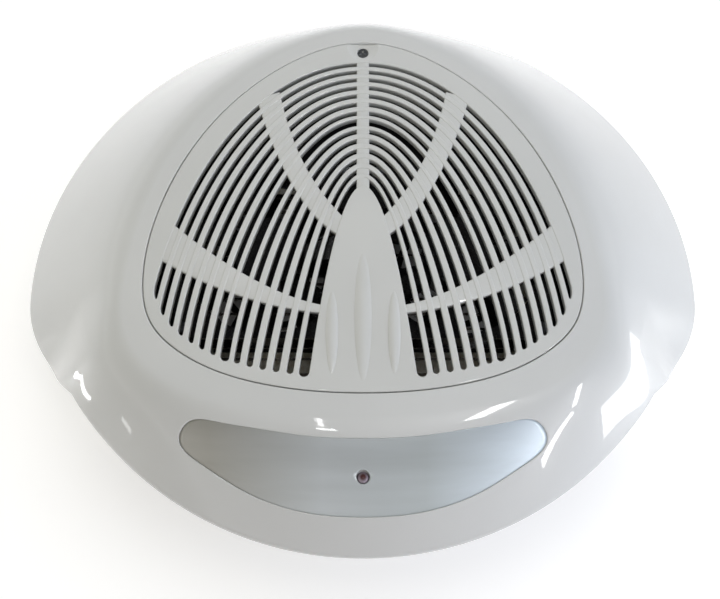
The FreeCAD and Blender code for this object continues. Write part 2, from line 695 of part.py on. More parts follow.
def make_base_tray():
    brim_floor = prism(brim_wire(BRIM_INSET), FLOOR_LOW, FLOOR_TOP)
    front_floor = cylinder(0, VISOR_RADIUS, FLOOR_LOW, FLOOR_TOP, FLOOR_FRONT_RADIUS)
    front_half = block(-HALF_WIDTH, HALF_WIDTH, 0, VISOR_RADIUS / 2, 0, DEPTH)
    floor = brim_floor.fuse(front_floor.common(front_half))
    wall = prism(brim_wire(BRIM_INSET), FLOOR_LOW, RIM_HEIGHT)
    wall = wall.cut(prism(brim_wire(BRIM_INSET + BASE_WALL), FLOOR_LOW - 1, RIM_HEIGHT + 1))
    tongue_inset = SHELL_WALL + FIT_GAP
    tongue = prism(brim_wire(tongue_inset), RIM_HEIGHT - 6, RIM_HEIGHT + TONGUE_RISE)
    tongue = tongue.cut(prism(brim_wire(tongue_inset + 1.8), 0, RIM_HEIGHT + TONGUE_RISE + 1))
    rim = wall.fuse(tongue)
    half = TUNNEL_HALF + FIT_GAP
    rim = rim.cut([block(-half, half, 0, POLE_DEPTH, FLOOR_TOP, DEPTH),
                   block(-REAR_HALF, REAR_HALF, REAR_WALL_DEPTH, DEPTH, FLOOR_TOP, DEPTH)])
    parts = [floor, rim]
    brim_space = prism(brim_wire(SHELL_WALL + FIT_GAP), 0, REAR_TOP)
    brim_space = brim_space.common(UNDER_INSIDE.translated(Vector(0, 0, -2 * FIT_GAP)))
    outer = block(-REAR_HALF - BASE_WALL, REAR_HALF + BASE_WALL, REAR_WALL_DEPTH, DEPTH, FLOOR_LOW, REAR_TOP)
    inner = block(-REAR_HALF, REAR_HALF, REAR_WALL_DEPTH + BASE_WALL, DEPTH + 1, 0, DEPTH)
    parts.append(outer.cut(inner).common(brim_space))
    parts += [cylinder(x, d, FLOOR_LOW, PILLAR_FOOT, 6.5) for x, d in PILLAR_SPOTS]
    parts += [cylinder(x, d, FLOOR_LOW, EAR_LOW, 4.5) for x, d in ear_spots()]
    parts += [block(x - 4, x + 4, d - 4, d + 4, FLOOR_LOW, TRANSFORMER_LOW) for x, d in TRANSFORMER_SPOTS]
    base = joined(parts)
    cuts = []
    for x, d in PILLAR_SPOTS:
        cuts.append(cylinder(x, d, 0, SCREW_SEAT, HEAD_RADIUS + 0.5))
        cuts.append(cylinder(x, d, 0, PILLAR_FOOT + 1, CLEAR_RADIUS))
    cuts += [cylinder(x, d, FLOOR_LOW + 1, EAR_LOW + 1, PILOT_RADIUS) for x, d in ear_spots()]
    cuts += [cylinder(x, d, 0, FOOT_THICK, FOOT_RADIUS) for x, d in FOOT_SPOTS]
    half_long, half_tall = SWITCH_LONG / 2 + 0.1, SWITCH_TALL / 2 + 0.1
    cuts.append(block(SWITCH_X - half_long, SWITCH_X + half_long, REAR_WALL_DEPTH - 1, REAR_WALL_DEPTH + 4,
                      SWITCH_Z - half_tall, SWITCH_Z + half_tall))
    cuts.append(rear_cylinder(GLAND_X, SWITCH_Z, REAR_WALL_DEPTH - 1, REAR_WALL_DEPTH + 4,
                              GLAND_RADIUS + SEAT_GAP))
    return base.cut(cuts)


def rear_cylinder(x, z, d0, d1, radius):
    """A round bar that runs from front to back."""
    return Part.makeCylinder(radius, d1 - d0, place(x, d0, z), Vector(0, 1, 0))


def make_rubber_feet():
    feet = []
    for x, d in FOOT_SPOTS:
        pad = cylinder(x, d, 0, FOOT_THICK, FOOT_RADIUS - 0.05)
        feet.append(pad.makeChamfer(0.6, [e for e in pad.Edges if e.BoundBox.ZMax < 0.01]))
    return Part.makeCompound(feet)


# --- Fans -------------------------------------------------------------------------------------

def make_fan_frame(x):
    half, high = FAN_SIZE / 2, FAN_LOW + FAN_HEIGHT
    plates = []
    for low, top in ((FAN_LOW, FAN_LOW + FAN_FLANGE), (high - FAN_FLANGE, high)):
        plate = block(x - half, x + half, FAN_DEPTH - half, FAN_DEPTH + half, low, top)
        plates.append(plate.makeFillet(FAN_CORNER, [e for e in plate.Edges if e.BoundBox.ZLength > 1]))
    duct = cylinder(x, FAN_DEPTH, FAN_LOW, high, FAN_BORE + 1.5)
    posts = [cylinder(cx, cd, FAN_LOW, high, FAN_CORNER - 1) for cx, cd in fan_corners(x)]
    frame = joined(plates + [duct] + posts)
    frame = frame.cut([cylinder(x, FAN_DEPTH, FAN_LOW - 1, high + 1, FAN_BORE)] +
                      [cylinder(cx, cd, FAN_LOW - 1, high + 1, CLEAR_RADIUS)
                       for cx, cd in fan_corners(x)])
    mount = cylinder(x, FAN_DEPTH, FAN_LOW, FAN_LOW + 2, HUB_RADIUS)
    sleeve = cylinder(x, FAN_DEPTH, FAN_LOW, TUBE_HIGH, BEARING_RADIUS + TUBE_WALL)
    struts = []
    for k in range(4):
        strut = block(x + BEARING_RADIUS, x + FAN_BORE + 1, FAN_DEPTH - STRUT_WIDTH / 2,
                      FAN_DEPTH + STRUT_WIDTH / 2, FAN_LOW, FAN_LOW + 2.4)
        struts.append(strut.rotate(place(x, FAN_DEPTH), Vector(0, 0, 1), 35 + 90 * k))
    frame = joined([frame, mount, sleeve] + struts)
    return frame.cut([cylinder(x, FAN_DEPTH, FAN_LOW + 2, TUBE_HIGH + 1, BEARING_RADIUS + SEAT_GAP),
                      cylinder(x, FAN_DEPTH, FAN_LOW + 1, FAN_LOW + 3, SHAFT_RADIUS + AIR_GAP)])


def blade_section(x, radius, chord, pitch):
    """A thin cambered blade section across the radius, as a closed polygon."""
    tilt = math.radians(pitch)
    half, thick = chord / 2, BLADE_THICK / 2
    outline = ((-half, -thick), (0, BLADE_CAMBER - thick), (half, -thick),
               (half, thick), (0, BLADE_CAMBER + thick), (-half, thick))
    corners = []
    for along, bulge in outline:
        side = along * math.cos(tilt) - bulge * math.sin(tilt)
        rise = along * math.sin(tilt) + bulge * math.cos(tilt)
        corners.append(place(x + radius, FAN_DEPTH + side, BLADE_MIDDLE + rise))
    return Part.makePolygon(corners + corners[:1])


def make_fan_rotor(x):
    blade = Part.makeLoft([blade_section(x, HUB_RADIUS - 1.5, BLADE_ROOT_CHORD * 0.62, BLADE_ROOT_PITCH),
                           blade_section(x, BLADE_TIP + 3, BLADE_TIP_CHORD, BLADE_TIP_PITCH)], True, True)
    blade = blade.common(tube(x, FAN_DEPTH, FAN_LOW + 3.4, FAN_LOW + FAN_HEIGHT - 1, BLADE_TIP,
                              HUB_RADIUS - CUP_WALL / 2))
    blades = []
    for k in range(BLADE_COUNT):
        blades.append(blade.copy().rotate(place(x, FAN_DEPTH), Vector(0, 0, 1), 360.0 * k / BLADE_COUNT))
    top = FAN_LOW + FAN_HEIGHT - 0.8
    cup = cylinder(x, FAN_DEPTH, CUP_LOW, top, HUB_RADIUS)
    cup = cup.makeFillet(1.2, [e for e in cup.Edges if e.BoundBox.ZMin > top - 0.1])
    cup = cup.cut(cylinder(x, FAN_DEPTH, CUP_LOW - 1, top - 1.6, HUB_RADIUS - CUP_WALL))
    nose = cylinder(x, FAN_DEPTH, top - 7, top - 1, 3.2)
    rotor = joined([cup, nose] + blades)
    return rotor.cut(cylinder(x, FAN_DEPTH, top - 8, top - 2, SHAFT_RADIUS))


def make_rotor_magnet(x):
    outer = HUB_RADIUS - CUP_WALL
    return tube(x, FAN_DEPTH, CUP_LOW + 0.5, FAN_LOW + FAN_HEIGHT - 4, outer, outer - MAGNET_WALL)


def make_fan_shaft(x):
    return cylinder(x, FAN_DEPTH, FAN_LOW + 2.2, FAN_LOW + FAN_HEIGHT - 2.8, SHAFT_RADIUS)


def make_fan_bearing(x):
    return tube(x, FAN_DEPTH, FAN_LOW + 3, TUBE_HIGH, BEARING_RADIUS, SHAFT_RADIUS + BEARING_GAP)


STATOR_OUTER = HUB_RADIUS - CUP_WALL - MAGNET_WALL - AIR_GAP
STATOR_LOW = FAN_LOW + 7.0
STATOR_HIGH = FAN_LOW + 15.0
TUBE_HIGH = FAN_LOW + 16.0
CUP_LOW = FAN_LOW + 3.0
BLADE_MIDDLE = FAN_LOW + FAN_HEIGHT / 2 + 1
SEAT_GAP = 0.02


def stator_arms(x, width, reach, low, high):
    arms = []
    for k in range(4):
        arm = block(x + 5.5, x + reach, FAN_DEPTH - width / 2, FAN_DEPTH + width / 2, low, high)
        arms.append(arm.rotate(place(x, FAN_DEPTH), Vector(0, 0, 1), 90 * k))
    return arms


def make_fan_stator(x):
    """The stack of the motor's four poles round the bearing sleeve."""
    core = tube(x, FAN_DEPTH, STATOR_LOW + 2, STATOR_HIGH - 2, 6.6, BEARING_RADIUS + TUBE_WALL + SEAT_GAP)
    shoes = tube(x, FAN_DEPTH, STATOR_LOW + 1, STATOR_HIGH - 1, STATOR_OUTER, STATOR_OUTER - 1.6)
    gaps = [block(x - 20, x + 20, FAN_DEPTH - 1.6, FAN_DEPTH + 1.6, STATOR_LOW, STATOR_HIGH)
            .rotate(place(x, FAN_DEPTH), Vector(0, 0, 1), angle) for angle in (45, 135)]
    arms = stator_arms(x, 3.0, STATOR_OUTER - 1, STATOR_LOW + 2, STATOR_HIGH - 2)
    return joined([core, shoes.cut(gaps)] + arms)


def make_fan_winding(x):
    """Four coils, one round each pole."""
    coils = stator_arms(x, 6.4, STATOR_OUTER - 2.2, STATOR_LOW, STATOR_HIGH)
    inner = stator_arms(x, 3.1, STATOR_OUTER, STATOR_LOW + 1.95, STATOR_HIGH - 1.95)
    ring = tube(x, FAN_DEPTH, STATOR_LOW - 1, STATOR_HIGH + 1, 6.9, 0.5)
    return Part.makeCompound([coil.cut([core, ring]) for coil, core in zip(coils, inner)])


def make_fan_screws():
    top = FAN_LOW + FAN_HEIGHT
    spots = fan_corners(-FAN_X) + fan_corners(FAN_X)
    return Part.makeCompound([screw(x, d, top, FAN_HEIGHT + 8) for x, d in spots])


# --- Heaters ----------------------------------------------------------------------------------

def make_heater_former(x):
    """A mica card with a window that the heating wire crosses."""
    card = block(x - FORMER_HALF, x + FORMER_HALF, FORMER_FRONT, FORMER_BACK, FORMER_HEIGHT,
                 FORMER_HEIGHT + MICA_THICK)
    window = block(x - FORMER_HALF + FORMER_BORDER, x + FORMER_HALF - FORMER_BORDER,
                   FORMER_FRONT + FORMER_FRONT_BORDER, FORMER_BACK - FORMER_BORDER, 0, DEPTH)
    notches = [cylinder(cx, cd, 0, DEPTH, FAN_CORNER + 0.5) for cx, cd in fan_corners(x)]
    return card.cut([window] + notches)


def make_heater_wire(x):
    """The heating wire, one zigzag from side to side over the window."""
    half = FORMER_HALF - FORMER_BORDER + 3
    first, last = FORMER_FRONT + 5, FORMER_BACK - FORMER_BORDER - 3
    step = (last - first) / WIRE_PASSES
    low = FORMER_HEIGHT + MICA_THICK
    bars = []
    for k in range(WIRE_PASSES + 1):
        d = first + step * k
        bars.append(block(x - half, x + half, d, d + WIRE_SIZE, low, low + WIRE_SIZE))
        if k < WIRE_PASSES:
            side = x + half - WIRE_SIZE if k % 2 else x - half
            bars.append(block(side, side + WIRE_SIZE, d, d + step + WIRE_SIZE, low, low + WIRE_SIZE))
    return joined(bars).removeSplitter()


def make_heater_bracket(x):
    """Two bright steel bridges that carry the card on the hood."""
    bridges = []
    for d in (FORMER_FRONT + 1.5, FORMER_BACK - 8.5):
        legs = block(x - 26, x + 26, d, d + 7, DECK, FORMER_HEIGHT)
        legs = legs.cut(block(x - 20, x + 20, d - 1, d + 8, DECK - 1, FORMER_HEIGHT - 1))
        legs = legs.cut([block(x - 24.9, x - 20, d - 1, d + 8, DECK + 1, FORMER_HEIGHT + 1),
                         block(x + 20, x + 24.9, d - 1, d + 8, DECK + 1, FORMER_HEIGHT + 1)])
        bridges.append(legs.fuse([block(x - 26, x + 26, d, d + 7, FORMER_HEIGHT - 1, FORMER_HEIGHT)]))
    return Part.makeCompound(bridges)


def make_thermal_cutout(x):
    """A disc thermostat on the card's front border."""
    spot = x + FORMER_HALF - 13
    d = FORMER_BACK - FORMER_BORDER / 2
    low = FORMER_HEIGHT + MICA_THICK
    return cylinder(spot, d, low, low + 1.5, 4.2).fuse(cylinder(spot, d, low + 1.5, low + 4.5, 3.2))


# --- Electrics --------------------------------------------------------------------------------

BOARD_LOW = DECK + 3.0
BOARD_HALF = 46.0
BOARD_FRONT = 22.0
BOARD_BACK = 56.0
BOARD_SPOTS = ((-42, 48), (42, 48), (-34, 28), (34, 28))
TRANSFORMER_LOW = 8.0
TRANSFORMER_SPOTS = ((-10, 243), (18, 243))


def make_control_board():
    board = block(-BOARD_HALF, BOARD_HALF, BOARD_FRONT, BOARD_BACK, BOARD_LOW, BOARD_LOW + BOARD_THICK)
    board = board.common(cylinder(0, VISOR_RADIUS, 0, DEPTH, VISOR_RADIUS - 8))
    return board.cut([cylinder(x, d, 0, DEPTH, CLEAR_RADIUS) for x, d in BOARD_SPOTS])


def make_relay():
    low = BOARD_LOW + BOARD_THICK
    body = block(14, 33, 34, 50, low, low + 15)
    return body.makeFillet(0.8, [e for e in body.Edges if e.BoundBox.ZMin > low + 1])


def make_capacitors():
    low = BOARD_LOW + BOARD_THICK
    return Part.makeCompound([cylinder(x, d, low, low + 13, 4.0) for x, d in ((-18, 44), (-29, 42))])


def make_board_screws():
    seat = BOARD_LOW + BOARD_THICK
    return Part.makeCompound([screw(x, d, seat, BOARD_THICK + 2.5) for x, d in BOARD_SPOTS])


def make_sensor(x):
    """An infrared diode over the hands, dome down, in the hood's ceiling."""
    body = cylinder(x, SENSOR_DEPTH, CEILING + 1, DECK + 3, SENSOR_RADIUS)
    dome = Part.makeSphere(SENSOR_RADIUS, place(x, SENSOR_DEPTH, CEILING + 1 + 0.8))
    dome = dome.common(block(x - 9, x + 9, SENSOR_DEPTH - 9, SENSOR_DEPTH + 9, 0, CEILING + 2))
    flange = cylinder(x, SENSOR_DEPTH, DECK, DECK + 1, SENSOR_RADIUS + 0.6)
    return joined([body, dome, flange])


def transformer_box(grow_x, grow_d, low, high):
    (x0, d), (x1, _) = TRANSFORMER_SPOTS
    return block(x0 - 4 + grow_x, x1 + 4 - grow_x, d - 8 + grow_d, d + 8 - grow_d, low, high)


def make_transformer_core():
    low, high = TRANSFORMER_LOW, TRANSFORMER_LOW + 26
    core = transformer_box(0, 0, low, high)
    (x0, d), (x1, _) = TRANSFORMER_SPOTS
    middle = (x0 + x1) / 2
    windows = [block(middle + side * 8 - 4, middle + side * 8 + 4, d - 9, d + 9, low + 6, high - 6)
               for side in (-1, 1)]
    return core.cut(windows)


def make_transformer_winding():
    low, high = TRANSFORMER_LOW + 6.2, TRANSFORMER_LOW + 19.8
    (x0, d), (x1, _) = TRANSFORMER_SPOTS
    middle = (x0 + x1) / 2
    coil = block(middle - 11.8, middle + 11.8, d - 13, d + 13, low, high)
    coil = coil.makeFillet(3, [e for e in coil.Edges if e.BoundBox.ZLength > 1])
    leg = block(middle - 4.1, middle + 4.1, d - 8.1, d + 8.1, low - 1, high + 1)
    return coil.cut(leg)


def make_terminal_block():
    body = block(44, 58, 229, 243, FLOOR_TOP, FLOOR_TOP + 12)
    holes = [cylinder(x, 236, FLOOR_TOP + 7, FLOOR_TOP + 13, 1.8) for x in (47.5, 54.5)]
    holes += [rear_cylinder(x, FLOOR_TOP + 5, 228, 244, 1.6) for x in (47.5, 54.5)]
    return body.cut(holes)


def switch_box(half_x, half_z, d0, d1):
    return block(SWITCH_X - half_x, SWITCH_X + half_x, d0, d1, SWITCH_Z - half_z, SWITCH_Z + half_z)


SWITCH_FACE = REAR_WALL_DEPTH + BASE_WALL + SWITCH_BEZEL
ROCKER_HALF = 7.3
ROCKER_TALL = 4.9
ROCKER_PIVOT = SWITCH_FACE - 5.0
ROCKER_PIN = 1.2
PIN_REACH = 5.9


def make_switch_body():
    bezel = switch_box(SWITCH_LONG / 2 + 1.5, SWITCH_TALL / 2 + 1.5, REAR_WALL_DEPTH + BASE_WALL, SWITCH_FACE)
    bezel = bezel.makeFillet(0.8, [e for e in bezel.Edges if e.BoundBox.YMin > FRONT_Y + SWITCH_FACE - 0.1])
    body = switch_box(SWITCH_LONG / 2, SWITCH_TALL / 2, REAR_WALL_DEPTH - SWITCH_BODY, SWITCH_FACE - 1)
    body = bezel.fuse(body)
    hollow = switch_box(ROCKER_HALF + 1.3, ROCKER_TALL + 0.3, REAR_WALL_DEPTH - SWITCH_BODY + 3,
                        SWITCH_FACE + 1)
    reach = PIN_REACH + 0.1
    pin = cylinder(SWITCH_X, ROCKER_PIVOT, SWITCH_Z - reach, SWITCH_Z + reach, ROCKER_PIN + 0.06)
    body = body.cut([hollow, pin])
    blades = [switch_box(0.4, 2.4, REAR_WALL_DEPTH - SWITCH_BODY - 6, REAR_WALL_DEPTH - SWITCH_BODY + 1)
              .translated(Vector(offset, 0, 0)) for offset in (-6, 0, 6)]
    return joined([body] + blades)


def make_switch_rocker():
    """A three-position rocker: two shallow wings that meet in a dip, on a pin."""
    outline = ((-ROCKER_HALF, 6.2), (-ROCKER_HALF, 3.4), (-3, -2.6), (3, -2.6), (ROCKER_HALF, 3.4),
               (ROCKER_HALF, 6.2), (0, 5.2))
    corners = [place(SWITCH_X + x, ROCKER_PIVOT + d, SWITCH_Z - ROCKER_TALL) for x, d in outline]
    face = Part.Face(Part.makePolygon(corners + corners[:1]))
    rocker = face.extrude(Vector(0, 0, 2 * ROCKER_TALL))
    pin = cylinder(SWITCH_X, ROCKER_PIVOT, SWITCH_Z - PIN_REACH, SWITCH_Z + PIN_REACH, ROCKER_PIN)
    return rocker.fuse(pin)


def make_cord_gland():
    """The flanged bush that the mains lead leaves through."""
    outside = REAR_WALL_DEPTH + BASE_WALL
    flange = rear_cylinder(GLAND_X, SWITCH_Z, outside, outside + 3, GLAND_RADIUS + 3)
    flange = flange.makeFillet(1.0, [e for e in flange.Edges if e.BoundBox.YMin > FRONT_Y + outside + 2.9])
    snout = rear_cylinder(GLAND_X, SWITCH_Z, outside + 2, outside + 9, GLAND_RADIUS)
    barrel = rear_cylinder(GLAND_X, SWITCH_Z, REAR_WALL_DEPTH - 9, outside + 1, GLAND_RADIUS)
    gland = joined([flange, snout, barrel])
    return gland.cut(rear_cylinder(GLAND_X, SWITCH_Z, REAR_WALL_DEPTH - 10, outside + 10, GLAND_BORE))


def make_gland_nut():
    """The six-sided nut that holds the gland from inside."""
    reach = GLAND_RADIUS + 3
    corners = []
    for k in range(7):
        angle = math.radians(60 * k)
        corners.append(place(GLAND_X + reach * math.cos(angle), REAR_WALL_DEPTH - 4,
                             SWITCH_Z + reach * math.sin(angle)))
    nut = Part.Face(Part.makePolygon(corners)).extrude(Vector(0, 4, 0))
    return nut.cut(rear_cylinder(GLAND_X, SWITCH_Z, REAR_WALL_DEPTH - 5, REAR_WALL_DEPTH + 1,
                                 GLAND_RADIUS + SEAT_GAP))


# --- Build ------------------------------------------------------------------------------------

def build():
    """Every node by name."""
    nodes = {
        "top_shell": make_top_shell(),
        "intake_grille": make_intake_grille(),
        "grille_screw": make_grille_screw(),
        "fascia_plate": make_fascia_plate(),
        "indicator_lamp": make_indicator_lamp(),
        "inner_hood": make_inner_hood(),
        "hood_screws": make_hood_screws(),
        "base_tray": make_base_tray(),
        "rubber_feet": make_rubber_feet(),
        "base_screws": make_base_screws(),
        "fan_screws": make_fan_screws(),
        "control_board": make_control_board(),
        "board_relay": make_relay(),
        "board_capacitors": make_capacitors(),
        "board_screws": make_board_screws(),
        "sensor_emitter": make_sensor(-SENSOR_X),
        "sensor_receiver": make_sensor(SENSOR_X),
        "transformer_core": make_transformer_core(),
        "transformer_winding": make_transformer_winding(),
        "terminal_block": make_terminal_block(),
        "switch_body": make_switch_body(),
        "switch_rocker": make_switch_rocker(),
        "cord_gland": make_cord_gland(),
        "gland_nut": make_gland_nut(),
    }
    for side, x in (("left", -FAN_X), ("right", FAN_X)):
        nodes["fan_frame_" + side] = make_fan_frame(x)
        nodes["fan_rotor_" + side] = make_fan_rotor(x)
        nodes["rotor_magnet_" + side] = make_rotor_magnet(x)
        nodes["fan_shaft_" + side] = make_fan_shaft(x)
        nodes["fan_bearing_" + side] = make_fan_bearing(x)
        nodes["fan_stator_" + side] = make_fan_stator(x)
        nodes["fan_winding_" + side] = make_fan_winding(x)
        nodes["heater_former_" + side] = make_heater_former(x)
        nodes["heater_wire_" + side] = make_heater_wire(x)
        nodes["heater_bracket_" + side] = make_heater_bracket(x)
        nodes["thermal_cutout_" + side] = make_thermal_cutout(x)
    return nodes


def main():
    os.makedirs("parts", exist_ok=True)
    for name, shape in build().items():
        if not shape.isValid():
            print("not valid:", name)
        print("%-22s %2d solids %9.1f mm3" % (name, len(shape.Solids), shape.Volume))
        shape.exportStep("parts/%s.step" % name)


main()
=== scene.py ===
"""Looks of a table-top fan nail dryer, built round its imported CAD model.

Lengths inside the classes are millimetres: x to the right, d behind the visor's front edge, z above
the table. They turn into Blender's metres only where a mesh is made.
"""

import json
import logging
import math
from dataclasses import dataclass, field
from enum import Enum

import bpy
import numpy as np
from mathutils import Matrix, Vector
from mathutils.geometry import delaunay_2d_cdt

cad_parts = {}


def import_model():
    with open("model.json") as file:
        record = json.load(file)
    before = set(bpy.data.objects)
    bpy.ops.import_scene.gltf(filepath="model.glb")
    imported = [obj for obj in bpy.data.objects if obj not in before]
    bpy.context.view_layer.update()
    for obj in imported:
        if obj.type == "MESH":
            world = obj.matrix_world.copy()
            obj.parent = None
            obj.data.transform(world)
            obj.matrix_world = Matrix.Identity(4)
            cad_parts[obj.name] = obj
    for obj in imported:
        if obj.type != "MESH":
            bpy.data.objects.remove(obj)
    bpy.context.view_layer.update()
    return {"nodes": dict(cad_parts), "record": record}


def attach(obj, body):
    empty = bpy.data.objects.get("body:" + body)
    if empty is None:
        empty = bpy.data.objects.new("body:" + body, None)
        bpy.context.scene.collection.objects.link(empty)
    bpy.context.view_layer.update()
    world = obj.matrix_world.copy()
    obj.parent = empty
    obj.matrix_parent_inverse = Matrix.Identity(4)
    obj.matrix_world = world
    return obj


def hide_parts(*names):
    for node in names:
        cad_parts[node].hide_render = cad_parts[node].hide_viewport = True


log = logging.getLogger("nail_dryer")

Array = np.ndarray
Tree = bpy.types.NodeTree
Socket = bpy.types.NodeSocket

MM = 0.001
FRONT_Y = -139.5                 # the frame's y where d is 0
BUMP_METRES = 0.0002             # height of the grain at full strength
COAT_ROUGHNESS = 0.04            # of the polished skin
SMOOTH_UP_TO = math.radians(30)  # edges blunter than this are shaded smooth
WELD_METRES = 0.000001           # a CAD node's points closer than this are one


class Coat(Enum):
    """How a plastic's outer film behaves."""

    BARE = 0.0
    POLISHED = 1.0


def link(name: str, data: bpy.types.ID) -> bpy.types.Object:
    """Makes an object of some data and links it to the scene."""
    made = bpy.data.objects.new(name, data)
    bpy.context.scene.collection.objects.link(made)
    return made


# --- Meshes ---------------------------------------------------------------------------------------


class Patches:
    """Collects grids and triangles, and turns them into one mesh object."""

    def __init__(self) -> None:
        """Starts with nothing collected."""
        self.points: list[Array] = []
        self.quads: list[Array] = []
        self.tris: list[Array] = []
        self.count = 0

    def _add_points(self, points: Array) -> int:
        """Stores points and returns the index of the first one."""
        first = self.count
        self.points.append(points.reshape(-1, 3))
        self.count += len(self.points[-1])
        return first

    def grid(self, points: Array, wrap: bool = False, flip: bool = False) -> None:
        """Adds a surface given as rows and columns of points.

        Args:
            points: array of rows x columns x 3.
            wrap: whether the last column joins the first.
            flip: whether the faces turn the other way.
        """
        rows, cols = points.shape[:2]
        first = self._add_points(points)
        index = np.arange(rows * cols).reshape(rows, cols) + first
        if wrap:
            index = np.concatenate([index, index[:, :1]], axis=1)
        corners = [index[:-1, :-1], index[:-1, 1:], index[1:, 1:], index[1:, :-1]]
        quads = np.stack(corners, axis=-1).reshape(-1, 4)
        self.quads.append(quads[:, ::-1] if flip else quads)

    def triangles(self, points: Array, faces: Array) -> None:
        """Adds loose triangles.

        Args:
            points: n x 3 points.
            faces: m x 3 indices into points.
        """
        self.tris.append(faces + self._add_points(points))

    def build(self, name: str, normals: dict | None = None) -> bpy.types.Object:
        """Makes the object.

        Args:
            name: the piece's name.
            normals: for index ranges (first, last) of points, their exact normals.

        Returns:
            A mesh object at the origin, in metres, linked to the scene.
        """
        points = np.concatenate(self.points)
        world = (points + [0, FRONT_Y, 0]) * MM
        quads = np.concatenate(self.quads) if self.quads else np.zeros((0, 4), int)
        tris = np.concatenate(self.tris) if self.tris else np.zeros((0, 3), int)
        loops = np.concatenate([quads.ravel(), tris.ravel()]).astype(np.int32)
        sizes = np.concatenate([np.full(len(quads), 4), np.full(len(tris), 3)]).astype(np.int32)
        starts = np.concatenate([[0], np.cumsum(sizes)[:-1]]).astype(np.int32)
        mesh = bpy.data.meshes.new(name)
        mesh.vertices.add(len(world))
        mesh.vertices.foreach_set("co", world.astype(np.float32).ravel())
        mesh.loops.add(len(loops))
        mesh.loops.foreach_set("vertex_index", loops)
        mesh.polygons.add(len(sizes))
        mesh.polygons.foreach_set("loop_start", starts)
        mesh.polygons.foreach_set("loop_total", sizes)
        mesh.polygons.foreach_set("use_smooth", np.ones(len(sizes), bool))
        mesh.update(calc_edges=True)
        mesh.validate()
        if normals:
            own = np.zeros(len(world) * 3, np.float32)
            mesh.vertex_normals.foreach_get("vector", own)
            own = own.reshape(-1, 3)
            for (first, last), exact in normals.items():
                own[first:last] = exact.reshape(-1, 3)
            mesh.normals_split_custom_set_from_vertices(own.tolist())
        return link(name, mesh)


def spline_loop(half: tuple, samples: int = 1440) -> Array:
    """A smooth closed outline through half points that are mirrored about x = 0.

    A periodic cubic spline over chord length: its second derivatives solve one linear system, and
    each span is the cubic that they and the span's ends give.

    Args:
        half: (x, d) points from the front centre round the right side to the back centre.
        samples: points on the whole outline.

    Returns:
        samples x 2 points, counter-clockwise from above.
    """
    right = np.array(half, float)
    left = right[1:-1][::-1] * [-1, 1]
    knots = np.vstack([right, left])
    n = len(knots)
    step = np.linalg.norm(np.roll(knots, -1, 0) - knots, axis=1)
    before = np.roll(step, 1)
    slope = (np.roll(knots, -1, 0) - knots) / step[:, None]
    matrix = np.zeros((n, n))
    index = np.arange(n)
    matrix[index, index] = 2 * (before + step)
    matrix[index, (index + 1) % n] += step
    matrix[index, index - 1] += before
    bend = np.linalg.solve(matrix, 6 * (slope - np.roll(slope, 1, 0)))
    place = np.concatenate([[0], np.cumsum(step)])
    along = np.linspace(0, place[-1], samples, endpoint=False)
    span = np.clip(np.searchsorted(place, along, side="right") - 1, 0, n - 1)
    h, a = step[span][:, None], (along - place[span])[:, None]
    b = h - a
    after = (span + 1) % n
    return ((bend[span] * b ** 3 + bend[after] * a ** 3) / (6 * h)
            + (knots[span] / h - bend[span] * h / 6) * b
            + (knots[after] / h - bend[after] * h / 6) * a)


def depth_inside(points: Array, loop: Array) -> Array:
    """Distance from points to a closed outline, positive inside and negative outside.

    Args:
        points: n x 2 points.
        loop: m x 2 outline points in order.

    Returns:
        The n signed distances.
    """
    a, b = loop, np.roll(loop, -1, 0)
    edge = b - a
    rel = points[:, None, :] - a[None]
    share = np.clip((rel * edge).sum(2) / (edge ** 2).sum(1), 0, 1)
    gap = np.linalg.norm(rel - share[..., None] * edge, axis=2).min(1)
    up = (a[:, 1] <= points[:, None, 1]) != (b[:, 1] <= points[:, None, 1])
    with np.errstate(divide="ignore", invalid="ignore"):
        cross = a[:, 0] + (points[:, None, 1] - a[:, 1]) * edge[:, 0] / edge[:, 1]
    odd = (up & (points[:, None, 0] < cross)).sum(1) % 2 == 1
    return np.where(odd, gap, -gap)


def loop_normals(loop: Array) -> Array:
    """Unit normals of a closed outline, to the left of its direction.

    Args:
        loop: m x 2 points in order.

    Returns:
        m x 2 normals from central differences.
    """
    along = np.roll(loop, -1, 0) - np.roll(loop, 1, 0)
    along /= np.linalg.norm(along, axis=1)[:, None]
    return np.stack([-along[:, 1], along[:, 0]], axis=1)


def bezier(poles: Array, t: Array) -> Array:
    """Points of a cubic Bezier curve: the poles weighted by the four cubic weights.

    Args:
        poles: 4 x 2 poles.
        t: parameters.

    Returns:
        Points, one row per parameter.
    """
    t = t[:, None]
    return (1 - t) ** 3 * poles[0] + 3 * t * (1 - t) ** 2 * poles[1] \
        + 3 * t * t * (1 - t) * poles[2] + t ** 3 * poles[3]


# --- Finishes -------------------------------------------------------------------------------------


def linear(hex_colour: str) -> tuple[float, float, float, float]:
    """Turns an sRGB colour into a linear one.

    Args:
        hex_colour: "#" and six hex digits.

    Returns:
        Red, green, blue and an alpha of 1.
    """
    parts = [int(hex_colour[k:k + 2], 16) / 255 for k in (1, 3, 5)]
    rgb = [c / 12.92 if c <= 0.04045 else ((c + 0.055) / 1.055) ** 2.4 for c in parts]
    return (*rgb, 1.0)


